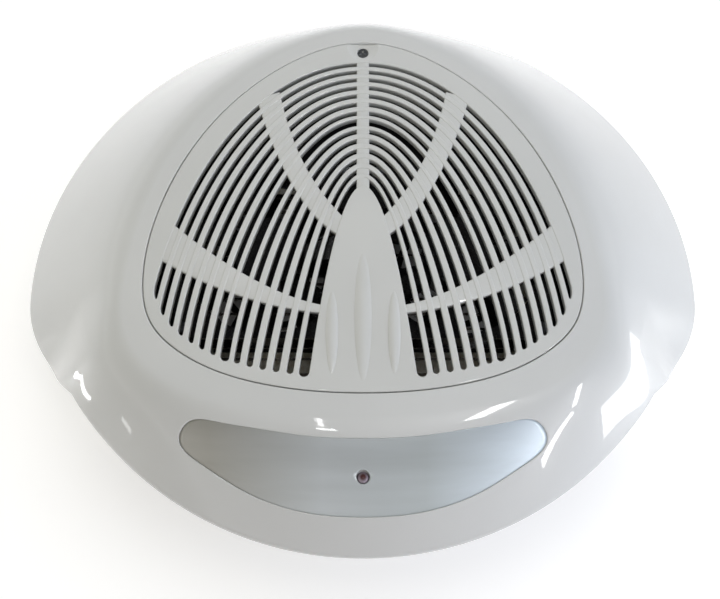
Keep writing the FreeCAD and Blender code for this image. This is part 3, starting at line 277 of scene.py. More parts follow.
def add(tree: Tree, kind: str, settings: dict | None = None,
        links: dict | None = None) -> bpy.types.Node:
    """Adds a node with its settings and incoming links.

    Args:
        tree: the material's node tree.
        kind: the node's type name.
        settings: property names, or input names after "in:", and their values.
        links: input names and the output sockets that feed them.

    Returns:
        The new node.
    """
    node = tree.nodes.new(kind)
    for key, value in (settings or {}).items():
        if key.startswith("in:"):
            name = key[3:]
            node.inputs[int(name) if name.isdigit() else name].default_value = value
        else:
            setattr(node, key, value)
    for name, socket in (links or {}).items():
        tree.links.new(socket, node.inputs[int(name) if name.isdigit() else name])
    return node


def cleared(owner: bpy.types.Material | bpy.types.World) -> Tree:
    """Turns a material's or world's nodes on and returns their tree, emptied."""
    owner.use_nodes = True
    owner.node_tree.nodes.clear()
    return owner.node_tree


def maths(tree: Tree, operation: str, *values: object) -> Socket:
    """Adds a math node.

    Args:
        tree: the node tree.
        operation: what the node does.
        values: its inputs in order, each a socket or a number.

    Returns:
        The socket of its result.
    """
    numbers = {f"in:{k}": value for k, value in enumerate(values) if isinstance(value, float)}
    sockets = {str(k): value for k, value in enumerate(values) if not isinstance(value, float)}
    return add(tree, "ShaderNodeMath", {"operation": operation, **numbers}, sockets).outputs[0]


def tone_ramp(tree: Tree, share: Socket, tones: tuple) -> Socket:
    """Adds a colour ramp.

    Args:
        tree: the node tree.
        share: the socket that drives it.
        tones: (place, sRGB hex) pairs in order.

    Returns:
        The socket of its colour.
    """
    ramp = add(tree, "ShaderNodeValToRGB", links={"Fac": share})
    for at, _ in tones[1:-1]:
        ramp.color_ramp.elements.new(at)
    for element, (at, tone) in zip(ramp.color_ramp.elements, tones):
        element.position = at
        element.color = linear(tone)
    return ramp.outputs["Color"]


def noise(tree: Tree, size_mm: float, detail: float, place: Socket) -> Socket:
    """Adds soft noise with patches of a size in millimetres and returns its factor."""
    settings = {"in:Scale": 1 / (size_mm * MM), "in:Detail": detail}
    return add(tree, "ShaderNodeTexNoise", settings, {"Vector": place}).outputs["Fac"]


@dataclass(frozen=True)
class Finish:
    """A finish: a principled shader with a mottled colour, a varied gloss and a fine grain."""

    name: str
    light: str                   # sRGB hex of the lighter patches
    dark: str                    # sRGB hex of the darker patches
    mottle_mm: float = 60.0      # size of the colour patches
    roughness: float = 0.4
    roughness_spread: float = 0.06
    grain_mm: float = 0.6        # size of the surface grain
    grain_depth: float = 0.05    # strength of its bump
    metallic: float = 0.0
    ior: float = 1.5
    coat: Coat = Coat.BARE
    stretch: tuple = (1.0, 1.0, 1.0)
    full_at: tuple = (0.35, 0.65)      # noise where the dark and the light tone are pure

    def colour(self, tree: Tree, place: Socket) -> Socket:
        """The colour socket: two tones mixed by soft noise.

        Args:
            tree: the material's node tree.
            place: object coordinates in metres.

        Returns:
            The socket that feeds the base colour.
        """
        return tone_ramp(tree, noise(tree, self.mottle_mm, 3.0, place),
                         tuple(zip(self.full_at, (self.dark, self.light))))

    def height(self, tree: Tree, place: Socket) -> Socket:
        """The grain's height socket."""
        return noise(tree, self.grain_mm, 2.0, place)

    def make(self) -> bpy.types.Material:
        """Builds the material, unless it is there already.

        Returns:
            The material.
        """
        known = bpy.data.materials.get(self.name)
        if known:
            return known
        material = bpy.data.materials.new(self.name)
        tree = cleared(material)
        coords = add(tree, "ShaderNodeTexCoord").outputs["Object"]
        place = add(tree, "ShaderNodeMapping", {"in:Scale": self.stretch}, {"Vector": coords})
        place = place.outputs["Vector"]
        height = self.height(tree, place)
        gloss = add(tree, "ShaderNodeMapRange",
                    {"in:To Min": self.roughness - self.roughness_spread,
                     "in:To Max": self.roughness + self.roughness_spread}, {"Value": height})
        bump = add(tree, "ShaderNodeBump",
                   {"in:Strength": self.grain_depth, "in:Distance": BUMP_METRES},
                   {"Height": height})
        shader = add(tree, "ShaderNodeBsdfPrincipled",
                     {"in:Metallic": self.metallic, "in:IOR": self.ior,
                      "in:Coat Weight": self.coat.value, "in:Coat Roughness": COAT_ROUGHNESS},
                     {"Base Color": self.colour(tree, place), "Roughness": gloss.outputs["Result"],
                      "Normal": bump.outputs["Normal"]})
        add(tree, "ShaderNodeOutputMaterial", links={"Surface": shader.outputs["BSDF"]})
        return material


@dataclass(frozen=True)
class Film(Finish):
    """A metallised film with painted reflection: its tone shifts along its length, darker and
    warmer at the left tip, brighter and bluer at the right.
    """

    # painted reflection: darker and warmer at the left tip, brighter and bluer towards the right
    # one
    tones: tuple = ((0.08, "#adaba3"), (0.39, "#cfd4d6"), (0.67, "#c6cdcf"), (0.96, "#e1edf9"))
    half_mm: float = 78.0        # the tones' places are shares of the way from tip to tip

    def colour(self, tree: Tree, place: Socket) -> Socket:
        """The colour socket: painted reflection as tones along the length, dulled in patches by the
        brushing.

        Args:
            tree: the material's node tree.
            place: object coordinates in metres.

        Returns:
            The socket that feeds the base colour.
        """
        reach = self.half_mm * MM * self.stretch[0]
        along = add(tree, "ShaderNodeSeparateXYZ", links={"0": place})
        share = add(tree, "ShaderNodeMapRange", {"in:From Min": -reach, "in:From Max": reach},
                    {"Value": along.outputs["X"]})
        tone = tone_ramp(tree, share.outputs["Result"], self.tones)
        both = add(tree, "ShaderNodeMix",
                   {"data_type": "RGBA", "blend_type": "MULTIPLY", "in:0": 1.0},
                   {"6": tone, "7": super().colour(tree, place)})
        return both.outputs[2]


@dataclass(frozen=True)
class Dome(Finish):
    """Cast epoxy round a chip: its own tone, with a dark spot in the middle seen from above."""

    chip: str = "#4b2a2a"
    middle_mm: tuple = (0.0, -106.0)
    spot_mm: tuple = (0.9, 1.7)      # where the spot starts to fade and where it ends

    def colour(self, tree: Tree, place: Socket) -> Socket:
        """The colour socket: the resin's tones, with the chip's over them within the spot.

        Args:
            tree: the material's node tree.
            place: object coordinates in metres.

        Returns:
            The socket that feeds the base colour.
        """
        middle = (self.middle_mm[0] * MM, self.middle_mm[1] * MM, 0)
        along = add(tree, "ShaderNodeVectorMath", {"operation": "SUBTRACT", "in:1": middle},
                    {"0": place})
        flat = add(tree, "ShaderNodeVectorMath", {"operation": "MULTIPLY", "in:1": (1, 1, 0)},
                   {"0": along.outputs["Vector"]})
        reach = add(tree, "ShaderNodeVectorMath", {"operation": "LENGTH"},
                    {"0": flat.outputs["Vector"]})
        share = add(tree, "ShaderNodeMapRange",
                    {"in:From Min": self.spot_mm[0] * MM, "in:From Max": self.spot_mm[1] * MM},
                    {"Value": reach.outputs["Value"]})
        both = add(tree, "ShaderNodeMix", {"data_type": "RGBA", "in:6": linear(self.chip)},
                   {"0": share.outputs["Result"], "7": super().colour(tree, place)})
        return both.outputs[2]


# Finishes by the material slot that asks for them.
FINISHES = {
    # Moulded ABS off a polished tool: a soft white with sharp reflections and a faint waviness.
    "white_abs": Finish("white ABS, moulded glossy", "#d2d3d1", "#cdcecc", 90, 0.34, 0.03, 4.0,
                        0.02, coat=Coat.POLISHED),
    # Vacuum-metallised film on the crescent: brushed along its length, silver, with painted
    # reflection that darkens and warms its left end and brightens its right.
    "silver_film": Film("silver film, brushed, with painted reflection", "#ffffff", "#f3f3f2", 14, 0.42, 0.06, 1.2, 0.08,
                        0.6, stretch=(0.12, 1.0, 1.0)),
    # Tinted epoxy of the lamp: smooth, mauve-grey, with the chip's dark red spot in the middle.
    "lamp_lens": Dome("tinted epoxy, cast", "#92858f", "#7d707b", 2, 0.2, 0.02, 0.5, 0.02),
    # Etched black ABS inside: grey-black and dull.
    "black_abs": Finish("black ABS, etched", "#1b1b1d", "#131315", 12, 0.5, 0.08, 0.5, 0.25),
    # Glass-filled PBT of the fans: deep black with a slight sheen from the moulding.
    "fan_black": Finish("black PBT, moulded", "#161618", "#0e0e10", 8, 0.28, 0.06, 0.5, 0.12),
    # Zinc-plated sheet and screws: bright, bluish, lightly mottled.
    "zinc_steel": Finish("steel, zinc plated", "#b9bcbe", "#9ea2a6", 3, 0.3, 0.08, 0.4, 0.08, 1.0),
    # Bright nickel-chrome wire that has been heated: warm grey.
    "nichrome": Finish("nickel-chrome, drawn", "#b9b4ad", "#968c82", 5, 0.26, 0.06, 0.3, 0.08, 1.0),
    # Pressed mica card: pearly beige layers, painted near white as painted light for the light that
    # reaches it through the slots.
    "mica": Finish("mica, pressed sheet, painted light", "#f0ede4", "#cfc7b4", 3, 0.42, 0.1, 0.8, 0.2),
    # Ground silver steel of the shafts.
    "shaft_steel": Finish("steel, ground", "#c4c6c8", "#aeb1b4", 2, 0.16, 0.04, 0.2, 0.05, 1.0),
    # Sintered bronze: dull golden brown with pores.
    "bronze": Finish("bronze, sintered", "#a4814f", "#7c5d36", 1, 0.5, 0.1, 0.3, 0.2, 1.0),
    # Stacked electrical steel: dark grey with fine level lines.
    "lamination": Finish("electrical steel, stacked", "#55565a", "#38393c", 0.8, 0.45, 0.1, 0.5,
                         0.25, 1.0, stretch=(0.1, 0.1, 1.0)),
    # Enamelled copper: glossy red-brown turns.
    "copper_wire": Finish("copper wire, enamelled", "#a85f34", "#6f3415", 0.7, 0.3, 0.08, 0.45,
                          0.5, 1.0, stretch=(1.0, 1.0, 2.0)),
    # Bonded ferrite: dull dark grey.
    "ferrite": Finish("ferrite, bonded", "#3a3a3d", "#2a2a2c", 4, 0.6, 0.08, 0.5, 0.2),
    # Soft rubber: nearly black, dusty.
    "foot_rubber": Finish("rubber, moulded", "#2b2b2c", "#1d1d1e", 6, 0.75, 0.08, 0.6, 0.35),
    # Phenolic paper board: brown with a fine fibre.
    "circuit_board": Finish("phenolic board, pressed", "#8a6636", "#6f4f28", 4, 0.45, 0.08, 0.5,
                            0.12, stretch=(0.3, 1.0, 1.0)),
    # Relay case, moulded blue.
    "relay_case": Finish("polyester case, moulded", "#1d3f7a", "#17335f", 9, 0.3, 0.05, 0.6, 0.1),
    # Shrink sleeve of the capacitors: glossy near-black blue.
    "capacitor_sleeve": Finish("shrink sleeve, vinyl", "#1a2438", "#121a29", 6, 0.25, 0.05, 1.0,
                               0.1),
    # Water-clear tinted resin of the infrared emitter.
    "sensor_clear": Finish("blue resin, cast", "#8791ad", "#737d9b", 3, 0.1, 0.02, 0.5, 0.02),
    # Dark resin of the infrared receiver.
    "sensor_dark": Finish("dark resin, cast", "#1c151f", "#120d15", 3, 0.1, 0.02, 0.5, 0.02),
    # Natural nylon of the terminal block.
    "terminal_white": Finish("natural nylon, moulded", "#d6d2c6", "#c8c3b5", 8, 0.45, 0.06, 0.6,
                             0.15),
    # Black nylon of the switch: smooth with a dull shine.
    "switch_black": Finish("black nylon, moulded", "#161617", "#0f0f10", 8, 0.3, 0.05, 0.5, 0.1),
}
# The grille comes off the same resin with a slightly softer polish.
GRILLE_ABS = Finish("white ABS, moulded satin", "#cfd0cd", "#cacbc8", 70, 0.38, 0.04, 3.0, 0.02,
                    coat=Coat.POLISHED)


def dress(piece: bpy.types.Object, finish: Finish, body: str, slot: str,
          *nodes: str) -> bpy.types.Object:
    """Gives a new piece its material and its body, and hides the CAD nodes that it stands for.

    Args:
        piece: the new object.
        finish: its finish.
        body: the body that it rides on.
        slot: the record's material slot; not used.
        nodes: CAD nodes that it replaces.

    Returns:
        The piece.
    """
    piece.data.materials.append(finish.make())
    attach(piece, body)
    if nodes:
        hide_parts(*nodes)
    log.info("built %s, %d faces", piece.name, len(piece.data.polygons))
    return piece


# --- The shell's form -----------------------------------------------------------------------------


class PolarOutline:
    """A closed outline that gives its radius about the pole in any direction."""

    samples: int = 2880

    def __init__(self, half: tuple, pole: float) -> None:
        """Samples the outline.

        Args:
            half: (x, d) half points, as spline_loop takes them.
            pole: d of the pole.
        """
        self.loop = spline_loop(half, self.samples)
        angle = np.arctan2(self.loop[:, 1] - pole, self.loop[:, 0])
        reach = np.hypot(self.loop[:, 0], self.loop[:, 1] - pole)
        order = np.argsort(angle)
        once = angle[order]
        self.angle = np.concatenate([once - 2 * math.pi, once, once + 2 * math.pi])
        self.reach = np.tile(reach[order], 3)

    def radius(self, angle: Array) -> Array:
        """The outline's distance from the pole in each direction."""
        wrapped = (angle + math.pi) % (2 * math.pi) - math.pi
        return np.interp(wrapped, self.angle, self.reach)


@dataclass
class ShellForm:
    """The outer surface: a roof that falls past its crest, to the visor's edge or to the brim's."""

    depth: float = 279.0
    half_width: float = 167.0
    brim_back: float = 154.0
    brim_front: float = 86.0
    visor_radius: float = 158.0
    apex: float = 115.5
    roof_radius: float = 2200.0
    rim_height: float = 34.0
    rim_lip: float = 4.5
    visor_height: float = 68.0
    visor_lip: float = 6.0
    valley_blend: float = 13.0
    crest_softness: float = 0.2
    crest_rounding: float = 10.0
    blend_growth: float = 3.0
    brim_tight: float = 0.6      # what the brim's slope has of the crest's rounding
    back_tight: float = 0.5      # and what is left of that right at the back, where it is steepest
    pole: float = 140.0
    wall: float = 2.5
    panel_half: tuple = ((0, 67.5), (43, 71.5), (76, 84.0), (91, 99.0), (94.5, 118), (89, 148),
                         (69, 186), (37, 215.5), (0, 228))
    crest_half: tuple = ((0, 58), (48, 62), (84, 74), (101, 94), (101.5, 122), (95, 150), (76, 187),
                         (42, 219), (0, 234))
    foot_half: tuple = ((0, 0), (47, 7.2), (90, 28.1), (121, 56.4), (134, 74.3), (132, 104),
                        (122, 133), (108, 162), (90, 193), (62, 223), (33, 241), (0, 247))
    fascia_half: tuple = ((0, 17.3), (26, 19.5), (49, 27), (69, 39), (78.5, 50), (74, 55.8),
                          (62, 55.8), (46, 53), (25, 49.8), (0, 48.6))
    fascia_samples: int = 480
    fascia_rays: int = 361
    screw_d: float = 223.5
    scoop_d: float = 226.5       # middle of the dish round the screw
    scoop_radius: float = 15.0
    scoop_depth: float = 1.75
    probe: float = 0.2           # step of the differences that give normals

    def __post_init__(self) -> None:
        """Works out the polar outlines."""
        self.panel = PolarOutline(self.panel_half, self.pole)
        self.crest = PolarOutline(self.crest_half, self.pole)
        self.foot = PolarOutline(self.foot_half, self.pole)
        self.fascia = spline_loop(self.fascia_half, self.fascia_samples)

    def around(self, angle: Array, reach: Array) -> tuple[Array, Array]:
        """x and d of points given by directions and distances from the pole."""
        return reach * np.cos(angle), self.pole + reach * np.sin(angle)

    def roof(self, x: Array, d: Array) -> Array:
        """Height of the roof's sphere."""
        r = self.roof_radius
        return self.apex - r + np.sqrt(r ** 2 - x ** 2 - (d - self.pole) ** 2)

    def ramp(self, reach: Array, start: Array, end: Array, tight: Array | float = 1.0) -> Array:
        """How far a fall has got: 0 up to its start, 1 at its end, with a softly rounded start.

        Args:
            reach: distances from the pole.
            start: where the fall starts in the same directions.
            end: where it ends.
            tight: what is left of the rounding.

        Returns:
            The shares of the fall.
        """
        past = np.maximum((reach - start) / (end - start), 0)
        soft = (self.crest_softness + self.crest_rounding / (end - start)) * tight
        return (np.sqrt(past ** 2 + soft ** 2) - soft) / (np.sqrt(1 + soft ** 2) - soft)

    def backwards(self, angle: Array, start: float, end: float = 1.0) -> Array:
        """0 towards the sides and the front, growing smoothly to 1 at the back.

        Args:
            angle: directions from the pole.
            start: the sine from which it grows.
            end: the sine at which it is full.

        Returns:
            The shares.
        """
        share = np.clip((np.sin(angle) - start) / (end - start), 0, 1)
        return share * share * (3 - 2 * share)

    def fall(self, angle: Array, end: Array, height: float) -> Array:
        """The drop from the roof's sphere to a height at the end of a ramp."""
        return self.roof(*self.around(angle, end)) - height

    def top(self, x: Array, d: Array) -> Array:
        """The outer surface: the larger of the visor's and the brim's slopes, both from the crest.

        They run into each other over a height that grows from nothing at the crest.

        Args:
            x: places across.
            d: places behind the front edge.

        Returns:
            Heights over the table.
        """
        angle = np.arctan2(d - self.pole, x)
        reach = np.hypot(x, d - self.pole)
        crest, foot, edge = self.crest.radius(angle), self.foot.radius(angle), self.brim_edge(angle)
        tight = 1 - (1 - self.back_tight) * self.backwards(angle, 0.88)
        down = self.ramp(reach, crest, edge, self.brim_tight * tight)
        brim = -down * self.fall(angle, edge, self.rim_height + self.rim_lip)
        foot_height = self.visor_height + self.visor_lip
        visor = -self.ramp(reach, crest, foot) * self.fall(angle, foot, foot_height)
        blend = self.valley_blend * np.clip(self.blend_growth * down, 1e-6, 1)
        share = np.maximum(blend - abs(visor - brim), 0) / blend
        return self.roof(x, d) + np.maximum(visor, brim) + share * share * blend / 4

    def scooped(self, x: Array, d: Array, z: Array) -> Array:
        """Lowers heights to the ball-shaped dish round the grille's screw.

        Args:
            x: places across.
            d: places behind the front edge.
            z: the heights there.

        Returns:
            The heights, no higher than the dish.
        """
        low = self.roof(np.zeros(1), np.array([self.scoop_d]))[0] - self.scoop_depth
        flat = np.minimum(x ** 2 + (d - self.scoop_d) ** 2, self.scoop_radius ** 2)
        ball = low + self.scoop_radius - np.sqrt(self.scoop_radius ** 2 - flat)
        return np.minimum(z, ball)

    def normals(self, x: Array, d: Array) -> Array:
        """Unit normals of the outer surface, from central differences.

        Args:
            x: places across.
            d: places behind the front edge.

        Returns:
            The places' shape x 3 normals.
        """
        step = self.probe
        slope_x = (self.top(x + step, d) - self.top(x - step, d)) / (2 * step)
        slope_d = (self.top(x, d + step) - self.top(x, d - step)) / (2 * step)
        out = np.stack([-slope_x, -slope_d, np.ones_like(slope_x)], axis=-1)
        return out / np.linalg.norm(out, axis=-1, keepdims=True)

    def crescent(self, grow: float) -> tuple[Array, Array, Array]:
        """The fascia's outline seen from the pole, grown outwards.

        Args:
            grow: how far it is grown.

        Returns:
            Directions from the left tip to the right one, and the near and far radii there.
        """
        loop = self.fascia - loop_normals(self.fascia) * grow
        angle = np.arctan2(loop[:, 1] - self.pole, loop[:, 0])
        reach = np.hypot(loop[:, 0], loop[:, 1] - self.pole)
        first, last = angle.argmin(), angle.argmax()
        ahead = np.roll(np.arange(len(loop)), -first)
        cut = (last - first) % len(loop) + 1
        sides = [ahead[:cut], np.concatenate([ahead[cut - 1:], ahead[:1]])[::-1]]
        tips = angle[first], angle[last]
        bend = np.cos(np.linspace(math.pi, 0, self.fascia_rays))
        spread = (tips[0] + tips[1]) / 2 + (tips[1] - tips[0]) / 2 * bend
        radii = [np.interp(spread, angle[side], reach[side]) for side in sides]
        return spread, np.minimum(*radii), np.maximum(*radii)

    def brim_edge(self, angle: Array) -> Array:
        """Distance from the pole to the brim's plan outline: two half ellipses of one width.

        Args:
            angle: directions from the pole.

        Returns:
            The distances.
        """
        c, s = np.cos(angle), np.sin(angle)
        rise = self.pole - (self.depth - self.brim_back)

        def ellipse(length: float) -> Array:
            """Distance to the ellipse of that length along each direction."""
            k2 = (c / self.half_width) ** 2 + (s / length) ** 2
            k1 = rise * s / length ** 2
            return (-k1 + np.sqrt(k1 ** 2 - k2 * ((rise / length) ** 2 - 1))) / k2

        back = ellipse(self.brim_back)
        return np.where(rise + back * s > 0, back, ellipse(self.brim_front))

    def edge(self, angle: Array) -> tuple[Array, Array]:
        """The plan outline about the pole: the visor's circle or the brim's edge, whichever is out.

        Args:
            angle: directions from the pole.

        Returns:
            The radius in each direction, and the height of the lip's lower edge there.
        """
        r, rise = self.visor_radius, self.pole - self.visor_radius
        circle = -rise * np.sin(angle) + np.sqrt(r ** 2 - (rise * np.cos(angle)) ** 2)
        brim = self.brim_edge(angle)
        visor = (circle > brim) & (np.sin(angle) < 0)
        return np.where(visor, circle, brim), np.where(visor, self.visor_height, self.rim_height)


# --- Top shell ------------------------------------------------------------------------------------


@dataclass
class TopShell:
    """The moulded shell: roof, visor and brim in one skin with rolled edges."""

    form: ShellForm
    step_deg: float = 0.8
    inner_rows: int = 46
    outer_rows: int = 50
    roll: float = 1.6            # size of the rolled outer edge
    gap: float = 0.45            # clearance round the grille panel
    back_gap: float = 0.14       # what is left of it to see at the back
    closing: tuple = (0.25, 0.85)      # sines of the directions between which it closes
    mouth_round: float = 0.5
    ledge: float = 3.9           # width of the ledge that the panel lies on
    ledge_top: float = 2.5       # how far the ledge lies under the roof
    seat_width: float = 3.0      # of the thicker stretch round the mouth
    seat_drop: float = 5.0       # how far its underside lies under the roof
    rim_profile: tuple = ((0, 0.5), (0.12, 0.15), (0.5, 0))    # (inset, rise) round the lip's foot
    roll_rows: int = 7
    inside_rows: int = 16
    round_rows: int = 5
    slope_step: float = 0.5
    notch_samples: int = 200001
    notch_gap: float = 2e-5      # radians on each side of the notch
    recess_round: float = 0.7
    recess_depth: float = 1.8
    recess_rows: int = 6

    def mouth(self, angle: Array) -> Array:
        """Radius of the grille's mouth: the panel's outline and a gap that closes at the back."""
        closed = self.form.backwards(angle, *self.closing)
        return self.form.panel.radius(angle) + self.gap + (self.back_gap - self.gap) * closed

    def angles(self, tips: Array) -> Array:
        """Directions round the pole, doubled where visor and brim meet in a notch.

        Args:
            tips: the crescent's own directions.

        Returns:
            Those, and then even ones on round to them.
        """
        turn = 2 * math.pi
        steps = int((turn - tips[-1] + tips[0]) / math.radians(self.step_deg))
        rest = np.linspace(tips[-1], tips[0] + turn, steps)[1:-1]
        fine = np.linspace(-math.pi / 2, 0, self.notch_samples)
        low = self.form.edge(fine)[1]
        notch = fine[np.nonzero(low[1:] != low[:-1])[0][0]]
        extra = [at + side * self.notch_gap for at in (notch, -math.pi - notch) for side in (-1, 1)]
        rest = (np.concatenate([rest, extra]) - tips[-1]) % turn + tips[-1]
        return np.concatenate([tips, np.sort(rest)])

    def outside(self, angle: Array, near: Array, far: Array) -> Array:
        """Rows of the outer skin, from the grille's mouth to the crescent and on to the edge.

        Args:
            angle: directions from the pole.
            near: radius of the crescent's near side, or of the line that runs on from its tips.
            far: radius of its far side.

        Returns:
            inner_rows + outer_rows rows of points.
        """
        form = self.form
        mouth = self.mouth(angle) + self.mouth_round
        edge = form.edge(angle)[0] - self.roll
        first = np.linspace(0, 1, self.inner_rows)[:, None]
        second = np.linspace(0, 1, self.outer_rows)[:, None]
        reach = np.concatenate([mouth + (near - mouth) * first, far + (edge - far) * second])
        x, d = form.around(angle, reach)
        return np.stack([x, d, form.top(x, d)], axis=2)

    def ring(self, angle: Array, reach: Array, z: Array) -> Array:
        """One row of points at given radii and heights."""
        return np.stack([*self.form.around(angle, reach), z], axis=1)

    def lip(self, angle: Array) -> list[Array]:
        """Rows that roll over the outer edge, down the lip and back up its inside.

        The roll is a quadratic curve from the skin to the vertical, tangent to both.

        Args:
            angle: directions from the pole.

        Returns:
            The rows.
        """
        form = self.form
        edge, low = form.edge(angle)
        start = form.top(*form.around(angle, edge - self.roll))
        corner = form.top(*form.around(angle, edge))
        rows = []
        for t in np.linspace(0, 1, self.roll_rows)[1:]:
            reach = edge - self.roll * (1 - t) ** 2
            z = (1 - t) ** 2 * start + 2 * t * (1 - t) * corner + t * t * (corner - self.roll)
            rows.append(self.ring(angle, reach, z))
        for inset, rise in (*self.rim_profile, (form.wall, 0)):
            rows.append(self.ring(angle, edge - inset, low + rise))
        return rows

    def inside(self, angle: Array) -> list[Array]:
        """Rows of the inner skin, a wall's thickness under the outer one, to the grille's seat.

        Args:
            angle: directions from the pole.

        Returns:
            The rows, up to the rounded mouth.
        """
        form = self.form
        edge = form.edge(angle)[0] - form.wall
        mouth = self.mouth(angle)
        rows = []
        for share in np.linspace(0, 1, self.inside_rows):
            reach = edge + (mouth + self.seat_width - edge) * share
            out, back = (form.top(*form.around(angle, reach + side * self.slope_step))
                         for side in (1, -1))
            wall = form.wall * np.hypot(1, (out - back) / (2 * self.slope_step))
            rows.append(self.ring(angle, reach, form.top(*form.around(angle, reach)) - wall))
        roof = form.roof(*form.around(angle, mouth))
        for offset, drop in ((self.seat_width, self.seat_drop), (-self.ledge, self.seat_drop),
                             (-self.ledge, self.ledge_top), (0, self.ledge_top)):
            rows.append(self.ring(angle, mouth + offset, roof - drop))
        for turn in np.linspace(0, math.pi / 2, self.round_rows)[:-1]:
            reach = mouth + self.mouth_round * (1 - math.cos(turn))
            z = form.roof(*form.around(angle, reach)) - self.mouth_round * (1 - math.sin(turn))
            rows.append(self.ring(angle, reach, z))
        return rows

    def build(self) -> bpy.types.Object:
        """Builds the shell and dresses it.

        Returns:
            The shell's object.
        """
        form = self.form
        tips, near, far = form.crescent(self.recess_round)
        angle = self.angles(tips)
        mouth = self.mouth(angle) + self.mouth_round
        edge = form.edge(angle)[0] - self.roll
        count = len(tips)
        share = (near - mouth[:count]) / (edge - mouth)[:count]
        share = share[-1] + (share[0] - share[-1]) * np.linspace(0, 1, len(angle) - count)
        run = mouth[count:] + (edge - mouth)[count:] * share
        skin = self.outside(angle, np.concatenate([near, run]), np.concatenate([far, run]))
        patches = Patches()
        patches.grid(skin[:self.inner_rows], wrap=True, flip=True)
        patches.grid(skin[self.inner_rows:], wrap=True, flip=True)
        normals = {(0, patches.count): form.normals(skin[..., 0], skin[..., 1])}
        rows = [skin[-1], *self.lip(angle), *self.inside(angle), skin[0]]
        patches.grid(np.array(rows), wrap=True, flip=True)
        near_side, far_side = skin[self.inner_rows - 1:self.inner_rows + 1, :count]
        patches.grid(self.recess(np.concatenate([near_side, far_side[1:-1][::-1]])), wrap=True)
        return dress(patches.build("shell_skin", normals), FINISHES["white_abs"], "housing",
                     "white_abs", "top_shell")

    def recess(self, loop: Array) -> Array:
        """The crescent's rounded edge and short wall, carried along its outline.

        Args:
            loop: points on the skin round the crescent, clockwise from the left tip.

        Returns:
            Rows of points from the skin down.
        """
        normal = loop_normals(loop[:, :2])
        r = self.recess_round
        turn = np.linspace(0, math.pi / 2, self.recess_rows)
        inwards = np.concatenate([r * np.sin(turn), [r]])
        down = np.concatenate([r - r * np.cos(turn), [self.recess_depth]])
        flat = loop[None, :, :2] - normal[None] * inwards[:, None, None]
        z = self.form.top(flat[..., 0], flat[..., 1]) - down[:, None]
        return np.concatenate([flat, z[..., None]], axis=2)


# --- Grille ---------------------------------------------------------------------------------------


